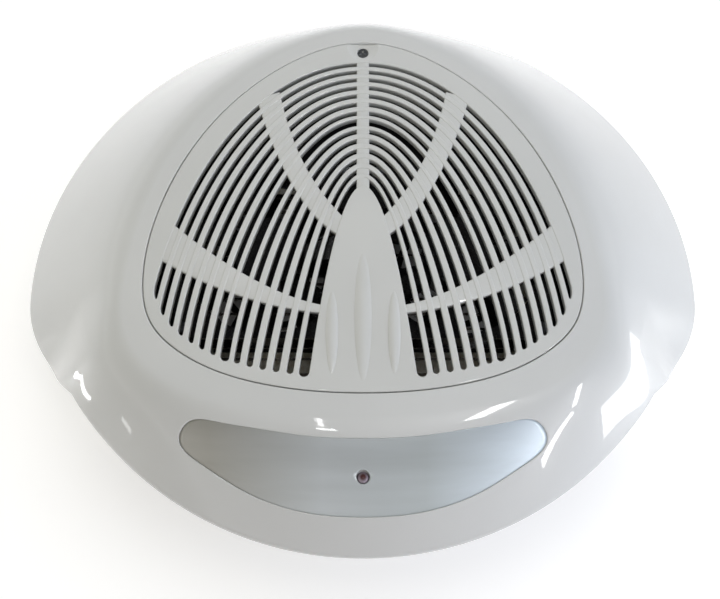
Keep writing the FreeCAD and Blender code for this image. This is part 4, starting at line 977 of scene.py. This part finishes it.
@dataclass
class IntakeGrille:
    """The grille panel: nested arches of slots, webs under them and a tongue with three lenses."""

    form: ShellForm
    slots: int = 14
    slot_share: float = 0.48
    wide: dict = field(default_factory=lambda: {7: 1.55, 13: 1.5})
    outer: tuple = ((92, 90), (84.5, 160.5), (46, 217), (0, 217))
    inner: tuple = ((26, 67.5), (23.5, 84.5), (13.5, 160.5), (0, 160.5))
    crowding: float = 0.85
    foot: float = 75.5
    foot_rise: float = 40.0
    foot_half: float = 89.0
    foot_power: float = 2.6
    foot_rows: int = 12
    search: tuple = (0.6, 6001)  # how far along an arch, and at how many points, its foot is sought
    depth: float = 4.0
    plate: float = 2.5
    edge_round: float = 0.55
    round_rows: int = 5
    web_drop: float = 0.3
    web_run: tuple = (0.04, 0.97)      # the stretch of its curves that a web covers
    web_profile: tuple = ((0, 4.0), (0, 2.5), (0, 0.5), (0.03, 0.15), (0.08, 0), (0.5, 0))
    hole: float = 2.5            # the screw's hole at the surface, narrower than its head's seat
    seat: float = 1.7            # how deep the hole's wall shows
    spine_half: float = 2.8
    spine_run: tuple = (155, 175, 200, 221)
    upper_web: tuple = (((37.8, 206), (33.8, 186), (25.8, 159.5), (5, 141)),
                        ((48.3, 203), (42.8, 182), (27.5, 141.5), (7, 134.5)))
    lower_web: tuple = (((91, 149), (67.3, 126.5), (34.6, 106), (13, 104.5)),
                        ((95.3, 130.5), (71.3, 113.5), (39.3, 102.6), (15, 101.3)))
    lenses: tuple = ((0, 100, 28, 3.7), (-13.2, 93, 18, 2.7), (13.2, 93, 18, 2.7))
    lens_rise: float = 1.3
    lens_sink: float = 0.02      # how far a lens's edge lies in the tongue
    lens_rows: tuple = (41, 17)
    samples: int = 90
    outline_step: int = 4        # every so many points of the panel's outline are kept
    cap_step: float = 3.0        # pitch of the points spread over the flat top
    cap_reach: tuple = ((-96, 96), (60, 232))
    cap_inset: float = 0.3
    dish_rings: tuple = (-6, -5, -4, -3, -2, -1.2, -0.6, -0.25, -0.08, 0.08, 0.3, 0.8, 1.6)
    dish_columns: int = 96
    hole_columns: int = 64

    def share(self, index: float) -> float:
        """Where in the family of arches a slot's centre line lies, 0 outside to 1 inside."""
        even = index / (self.slots - 1)
        return even * (self.crowding + (1 - self.crowding) * even)

    def limits(self, index: int) -> tuple[float, float]:
        """The shares of one slot's outer and inner edges.

        Args:
            index: the slot, 0 outside.

        Returns:
            The two shares.
        """
        pitch = self.share(index + 0.5) - self.share(index - 0.5)
        half = self.slot_share / 2 * pitch * self.wide.get(index, 1.0)
        return self.share(index) - half, self.share(index) + half

    def poles(self, share: float) -> Array:
        """Bezier poles of one arch, blended between the outermost and the innermost."""
        return (1 - share) * np.array(self.outer, float) + share * np.array(self.inner, float)

    def start(self, poles: Array) -> float:
        """Where an arch leaves the line that the slots' feet stand on.

        Args:
            poles: the arch's Bezier poles.

        Returns:
            The parameter there.
        """
        t = np.linspace(0, *self.search)
        line = bezier(poles, t)
        across = np.minimum(abs(line[:, 0]) / self.foot_half, 0.999)
        feet = self.foot + self.foot_rise * (1 - np.sqrt(1 - across ** self.foot_power))
        return float(t[np.argmax(line[:, 1] >= feet)])

    def slot_loop(self, index: int) -> Array:
        """One slot's outline: over the outer arch, round a foot and back over the inner arch.

        Args:
            index: the slot, 0 outside.

        Returns:
            Points of the closed outline.
        """
        halves = []
        for share in self.limits(index):
            poles = self.poles(share)
            t = 1 - (1 - self.start(poles)) * np.linspace(1, 0, self.samples)
            halves.append(bezier(poles, t))
        outer, inner = halves
        middle = (outer[0] + inner[0]) / 2
        ends = np.array([half[0] - half[1] for half in halves])
        down = (ends / np.linalg.norm(ends, axis=1)[:, None]).sum(0)
        down /= np.linalg.norm(down)
        across = (outer[0] - inner[0]) / 2
        turn = np.linspace(0, math.pi, self.foot_rows)[1:-1, None]
        foot = middle - across * np.cos(turn) + down * np.linalg.norm(across) * np.sin(turn)
        flip = np.array([-1, 1])
        return np.vstack([outer, (outer[:-1] * flip)[::-1], (foot * flip)[::-1], inner * flip,
                          inner[:-1][::-1], foot])

    def lift(self, flat: Array, drop: Array | float) -> Array:
        """Puts flat points on the panel's top.

        Args:
            flat: (x, d) points.
            drop: how far each is lowered.

        Returns:
            The points with their heights.
        """
        z = self.form.roof(flat[..., 0], flat[..., 1])
        z = self.form.scooped(flat[..., 0], flat[..., 1], z)
        return np.concatenate([flat, (z - drop)[..., None]], axis=-1)

    def wall(self, loop: Array, side: int, *depths: float) -> Array:
        """A quarter circle at the surface and an upright wall, carried along an outline.

        Args:
            loop: the wall's outline.
            side: 1 where the quarter circle starts inside the outline, -1 where outside it.
            depths: how far below the surface the wall's further rows lie.

        Returns:
            Rows of points from the surface down.
        """
        r = self.edge_round
        turn = np.linspace(0, math.pi / 2, self.round_rows)
        offset = side * np.concatenate([r - r * np.sin(turn), np.zeros(len(depths))])
        drop = np.concatenate([r - r * np.cos(turn), depths])
        flat = loop[None] + loop_normals(loop)[None] * offset[:, None, None]
        return self.lift(flat, drop[:, None])

    def cap(self, outline: Array, holes: list[Array]) -> tuple[Array, Array]:
        """The flat top between an outline and its holes, as constrained triangles.

        Args:
            outline: the outer loop.
            holes: the loops inside it.

        Returns:
            Flat points and triangle indices.
        """
        loops = [outline, *holes]
        points = np.vstack(loops)
        starts = np.cumsum([0] + [len(loop) for loop in loops])
        faces = [list(range(a, b)) for a, b in zip(starts[:-1], starts[1:])]
        x, d = np.meshgrid(*(np.arange(*reach, self.cap_step) for reach in self.cap_reach))
        extra = np.concatenate([np.stack([x.ravel(), d.ravel()], axis=1), self.dish_points()])
        extra = extra[depth_inside(extra, outline) > self.cap_inset]
        points = np.vstack([points, extra])
        found = delaunay_2d_cdt([Vector(p) for p in points], [], faces, 0, 1e-7)
        keep = [face for face, origin in zip(found[2], found[5]) if origin == [0]]
        return np.array([(p.x, p.y) for p in found[0]]), np.array(keep)

    def dish_points(self) -> Array:
        """Points on rings over the dish round the screw, closest at its edge.

        Returns:
            (x, d) points.
        """
        form = self.form
        bottom = form.scoop_radius - form.scoop_depth
        edge = math.sqrt(form.scoop_radius ** 2 - bottom ** 2)
        reach = edge + np.array(self.dish_rings)
        rings = reach[:, None, None] * self.circle(self.dish_columns)[None]
        return rings.reshape(-1, 2) + [0, form.scoop_d]

    def circle(self, count: int) -> Array:
        """Evenly spread points on a circle of radius 1."""
        turn = np.linspace(0, 2 * math.pi, count, endpoint=False)
        return np.stack([np.cos(turn), np.sin(turn)], axis=1)

    def band(self, edges: tuple, count: int = 60) -> Array:
        """A web between two curves: a flat top with rounded sides that run down to the ribs' depth.

        Args:
            edges: the Bezier poles of its two edges.
            count: points along it.

        Returns:
            Rows of points across the web, by its profile of (share of the width, drop) pairs that
            is mirrored about the middle.
        """
        t = np.linspace(*self.web_run, count)
        upper, lower = (bezier(np.array(edge, float), t) for edge in edges)
        share, down = np.array(self.web_profile).T
        share, down = np.append(share, 1 - share[-2::-1]), np.append(down, down[-2::-1])
        flat = upper[None] + (lower - upper)[None] * share[:, None, None]
        return self.lift(flat, np.minimum(down + self.web_drop, self.depth)[:, None])

    def lens(self, x: float, d: float, half_length: float, half_width: float) -> Array:
        """A raised lens: a spindle whose axis lies under the roof.

        Args:
            x: its middle across.
            d: its middle behind the front edge.
            half_length: half of what shows of it along d.
            half_width: half of what shows of it across.

        Returns:
            Rows of points over it.
        """
        radius = (half_width ** 2 + self.lens_rise ** 2) / (2 * self.lens_rise)
        sink = radius - self.lens_rise
        u, v = (np.sin(np.linspace(-1, 1, count) * math.pi / 2) for count in self.lens_rows)
        u, v = u[:, None], v[None]
        thick = sink + (radius - sink) * (1 - u ** 2)
        half = np.sqrt(np.maximum(thick ** 2 - sink ** 2, 0))
        flat = np.stack([x + half * v, d + half_length * u + 0 * v], axis=2)
        rise = np.sqrt(np.maximum(thick ** 2 - (half * v) ** 2, 0)) - sink
        return self.lift(flat, self.lens_sink - rise)

    def build(self) -> bpy.types.Object:
        """Builds the grille and dresses it.

        Returns:
            The grille's object.
        """
        patches = Patches()
        outline = self.form.panel.loop[::self.outline_step]
        patches.grid(self.wall(outline, 1, self.plate), wrap=True)
        holes = [self.slot_loop(index) for index in range(self.slots)]
        depths = [self.depth] * self.slots + [self.seat]
        holes.append(self.circle(self.hole_columns) * self.hole + [0, self.form.screw_d])
        for hole, depth in zip(holes, depths):
            patches.grid(self.wall(hole, -1, depth / 2, depth), wrap=True)
        holes = [hole - loop_normals(hole) * self.edge_round for hole in holes]
        flat, faces = self.cap(outline + loop_normals(outline) * self.edge_round, holes)
        patches.triangles(self.lift(flat, 0.0), faces)
        for edges in (self.upper_web, self.lower_web):
            band = self.band(edges)
            patches.grid(band)
            patches.grid(band * [-1, 1, 1], flip=True)
        spine = [[(side * self.spine_half, d) for d in self.spine_run] for side in (-1, 1)]
        patches.grid(self.band(spine), flip=True)
        for lens in self.lenses:
            patches.grid(self.lens(*lens), flip=True)
        return dress(patches.build("grille_panel"), GRILLE_ABS, "housing",
                     "white_abs", "intake_grille")


# --- Fascia ---------------------------------------------------------------------------------------


@dataclass
class Fascia:
    """The silver crescent on the visor's slope, with the lamp's hole."""

    form: ShellForm
    recess: float = 0.65         # how far its face lies under the visor's skin
    shrink: float = 0.02         # clearance to the recess
    thickness: float = 1.0
    lamp_d: float = 33.5
    hole: float = 2.85           # radius of the lamp's hole
    rows: int = 40

    def build(self) -> None:
        """Builds the plate as rays from the lamp's hole to the crescent's outline."""
        form = self.form
        loop = form.fascia[::-1]
        centre = np.array([0.0, self.lamp_d])
        away = loop - centre
        reach = np.linalg.norm(away, axis=1)
        unit = away / reach[:, None]
        share = np.linspace(0, 1, self.rows)[:, None]
        radius = self.hole + (reach - self.shrink - self.hole) * share
        flat = centre + unit[None] * radius[..., None]
        z = form.top(flat[..., 0], flat[..., 1]) - self.recess
        top = np.concatenate([flat, z[..., None]], axis=2)
        down = [0, 0, self.thickness]
        patches = Patches()
        patches.grid(np.concatenate([top[:1] - down, top, top[-1:] - down]), wrap=True)
        dress(patches.build("fascia_film"), FINISHES["silver_film"], "housing",
              "silver_film", "fascia_plate")


# --- CAD nodes that stay --------------------------------------------------------------------------


def smoothing_group() -> Tree:
    """Geometry nodes that join a CAD node's loose triangles and shade its blunt edges smooth."""
    tree = bpy.data.node_groups.new("joined and smooth", "GeometryNodeTree")
    tree.interface.new_socket("Geometry", in_out="INPUT", socket_type="NodeSocketGeometry")
    tree.interface.new_socket("Geometry", in_out="OUTPUT", socket_type="NodeSocketGeometry")
    source = add(tree, "NodeGroupInput")
    merged = add(tree, "GeometryNodeMergeByDistance", {"in:Distance": WELD_METRES},
                 {"Geometry": source.outputs["Geometry"]})
    angle = add(tree, "GeometryNodeInputMeshEdgeAngle")
    blunt = add(tree, "FunctionNodeCompare", {"operation": "LESS_THAN", "in:1": SMOOTH_UP_TO},
                {"0": angle.outputs["Unsigned Angle"]})
    faces = add(tree, "GeometryNodeSetShadeSmooth", {"domain": "FACE"},
                {"Geometry": merged.outputs["Geometry"]})
    edges = add(tree, "GeometryNodeSetShadeSmooth", {"domain": "EDGE"},
                {"Geometry": faces.outputs["Geometry"], "Shade Smooth": blunt.outputs["Result"]})
    add(tree, "NodeGroupOutput", links={"Geometry": edges.outputs["Geometry"]})
    return tree


def dress_cad_nodes(frame: dict) -> None:
    """Gives every CAD node that still shows its finish and smooth shading.
    """
    tree = smoothing_group()
    slots = {part["node"]: part["material_slot"] for part in frame["record"]["subparts"]}
    for name, node in frame["nodes"].items():
        finish = FINISHES[slots[name]]
        node.data.materials.clear()
        node.data.materials.append(finish.make())
        smooth = node.modifiers.new("smooth", "NODES")
        smooth.node_group = tree
        log.info("dressed %s in %s", name, finish.name)


# --- Studio ---------------------------------------------------------------------------------------


@dataclass
class Studio:
    """Camera, pale floor and soft lamps."""

    camera_place: tuple = (-0.0013, -0.1395, 0.545)
    camera_pitch: float = 14.0
    lens: float = 52.0
    floor_half: float = 12.0
    floor_tone: str = "#e9e8e6"
    floor_glow: float = 0.5      # near the part; it grows to 1 from near_floor to far_floor
    near_floor: float = 0.5
    far_floor: float = 2.5
    sky_zenith: float = 0.1
    sky_horizon: float = 1.0
    aim: tuple = (0.0, 0.0, 0.08)
    soft_away: float = 0.55
    softbox: tuple = (0.45, 0.35)
    soft: tuple = (("left", -90, 10, 0.04, "#e0ecff"), ("back left", -30, 28, 0.085, "#b8d4ff"),
                   ("right", 120, 28, 0.345, "#e0efff"), ("front right", 150, 28, 0.08, "#ffd8d4"),
                   ("above", 0, 80, 0.30, "#fffff8"), ("high left", -90, 50, 0.116, "#fff4c4"),
                   ("high right", 90, 50, 0.125, "#d8e2ff"), ("high back", 0, 50, 0.13, "#fff9fe"))
    gleams: tuple = (
        ("pane over the left crest", (-0.07, -0.535, 1.0), (-0.118, -0.535, 1.0), 0.04, 26),
        ("its upright", (-0.1, -0.465, 1.03), (-0.085, -0.2, 1.08), 0.012, 18),
        ("pane over the right crest", (0.289, -0.538, 0.97), (0.291, -0.15, 1.08), 0.05, 22),
        ("window's edge, upper", (0.614, -0.42, 0.418), (0.616, -0.534, 0.167), 0.03, 18),
        ("window's edge, lower", (0.61, -0.55, 0.12), (0.518, -0.642, 0.056), 0.03, 18),
        ("strip on the left, back", (-0.25, -0.051, 0.004), (-0.295, -0.078, 0.004), 0.005, 14),
        ("strip on the left", (-0.295, -0.078, 0.004), (-0.303, -0.142, 0.004), 0.005, 14),
        ("strip on the left, front", (-0.352, -0.236, 0.004), (-0.345, -0.258, 0.004), 0.008, 3),
        ("card on the right", (0.275, -0.02, 0.004), (0.30, -0.21, 0.004), 0.08, 5))

    def camera(self) -> None:
        """Adds the camera, pitched forward from straight down."""
        data = bpy.data.cameras.new("camera")
        data.sensor_width = 36.0
        data.sensor_fit = "HORIZONTAL"
        data.lens = self.lens
        camera = link("camera", data)
        camera.location = self.camera_place
        camera.rotation_euler = (math.radians(self.camera_pitch), 0, 0)
        bpy.context.scene.camera = camera

    def floor(self) -> None:
        """Adds the floor, which glows a little to the eye and in reflections, to stay pale."""
        h = self.floor_half
        mesh = bpy.data.meshes.new("floor")
        mesh.from_pydata([(-h, -h, 0), (h, -h, 0), (h, h, 0), (-h, h, 0)], [], [(0, 1, 2, 3)])
        floor = link("floor", mesh)
        material = bpy.data.materials.new("paper, matt white")
        tree = cleared(material)
        diffuse = add(tree, "ShaderNodeBsdfDiffuse", {"in:Color": linear(self.floor_tone)})
        path = add(tree, "ShaderNodeLightPath").outputs
        direct = maths(tree, "ADD", path["Is Camera Ray"], path["Is Glossy Ray"])
        direct = maths(tree, "ADD", direct, path["Is Transmission Ray"])
        reach = add(tree, "ShaderNodeVectorMath", {"operation": "LENGTH"},
                    {"0": add(tree, "ShaderNodeTexCoord").outputs["Object"]})
        glow = add(tree, "ShaderNodeMapRange",
                   {"in:From Min": self.near_floor, "in:From Max": self.far_floor,
                    "in:To Min": self.floor_glow}, {"Value": reach.outputs["Value"]})
        glow = add(tree, "ShaderNodeEmission", {"in:Color": (1, 1, 1, 1)},
                   {"Strength": maths(tree, "MULTIPLY", direct, glow.outputs["Result"])})
        both = add(tree, "ShaderNodeAddShader",
                   links={"0": diffuse.outputs[0], "1": glow.outputs[0]})
        add(tree, "ShaderNodeOutputMaterial", links={"Surface": both.outputs[0]})
        mesh.materials.append(material)

    def world(self) -> None:
        """Pale surroundings that meet the floor's white round the horizon and dim overhead.

        The strength is sky_zenith, plus the rest of sky_horizon times (1 - |z|) squared.
        """
        world = bpy.data.worlds.new("studio")
        bpy.context.scene.world = world
        tree = cleared(world)
        height = add(tree, "ShaderNodeSeparateXYZ",
                     links={"0": add(tree, "ShaderNodeTexCoord").outputs["Generated"]})
        low = maths(tree, "SUBTRACT", 1.0, maths(tree, "ABSOLUTE", height.outputs["Z"]))
        level = add(tree, "ShaderNodeMapRange",
                    {"in:To Min": self.sky_zenith, "in:To Max": self.sky_horizon},
                    {"Value": maths(tree, "POWER", low, 2.0)})
        glow = add(tree, "ShaderNodeBackground", {"in:Color": (1, 1, 1, 1)},
                   {"Strength": level.outputs["Result"]})
        add(tree, "ShaderNodeOutputWorld", links={"Surface": glow.outputs[0]})

    def lamp(self, name: str, size: tuple, energy: float, tint: str) -> bpy.types.Object:
        """Adds a rectangular area lamp at the origin.

        Args:
            name: the lamp's name.
            size: its width and height in metres.
            energy: its power in watts.
            tint: its colour.

        Returns:
            The lamp, for its caller to place.
        """
        data = bpy.data.lights.new(name, "AREA")
        data.shape = "RECTANGLE"
        data.size, data.size_y = size
        data.energy = energy
        data.color = linear(tint)[:3]
        return link(name, data)

    def softlight(self, name: str, turn: float, lift: float, share: float, tint: str) -> None:
        """Adds a soft box that only shades the part and doesn't mirror in it.

        Args:
            name: the lamp's name.
            turn: its direction in degrees, clockwise from the back.
            lift: its height above the part in degrees.
            share: how bright it alone would make a white surface that faces it.
            tint: its colour.
        """
        away = self.soft_away
        lamp = self.lamp("soft box, " + name, self.softbox, share * (math.pi * away) ** 2, tint)
        turn, lift, aim = math.radians(turn), math.radians(lift), Vector(self.aim)
        flat = math.cos(lift)
        place = aim + away * Vector((flat * math.sin(turn), flat * math.cos(turn), math.sin(lift)))
        lamp.location = place
        lamp.rotation_euler = (aim - place).to_track_quat("-Z", "Y").to_euler()
        lamp.visible_glossy = False

    def gleam(self, name: str, start: tuple, end: tuple, width: float, radiance: float) -> None:
        """Adds a strip that only mirrors in glossy surfaces, between two points, facing the part.

        Args:
            name: the lamp's name.
            start: one end of its middle line.
            end: the other end.
            width: its width in metres.
            radiance: its brightness.
        """
        start, end = Vector(start), Vector(end)
        along = end - start
        energy = radiance * math.pi * along.length * width
        lamp = self.lamp(name, (along.length, width), energy, "#ffffff")
        middle, along = (start + end) / 2, along.normalized()
        back = middle - Vector(self.aim)
        back = (back - along * back.dot(along)).normalized()
        turn = Matrix((along, back.cross(along), back)).transposed()
        lamp.matrix_world = Matrix.Translation(middle) @ turn.to_4x4()
        lamp.visible_diffuse = False

    def build(self) -> None:
        """Sets the stage."""
        bpy.context.scene.view_settings.view_transform = "Standard"
        self.camera()
        self.floor()
        self.world()
        for row in self.soft:
            self.softlight(*row)
        for row in self.gleams:
            self.gleam(*row)


# --- Build ----------------------------------------------------------------------------------------


def main() -> None:
    """Builds every piece."""
    logging.basicConfig(level=logging.INFO, format="%(name)s: %(message)s")
    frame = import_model()
    Studio().build()
    form = ShellForm()
    TopShell(form).build()
    IntakeGrille(form).build()
    Fascia(form).build()
    dress_cad_nodes(frame)


if __name__ == "__main__":
    main()
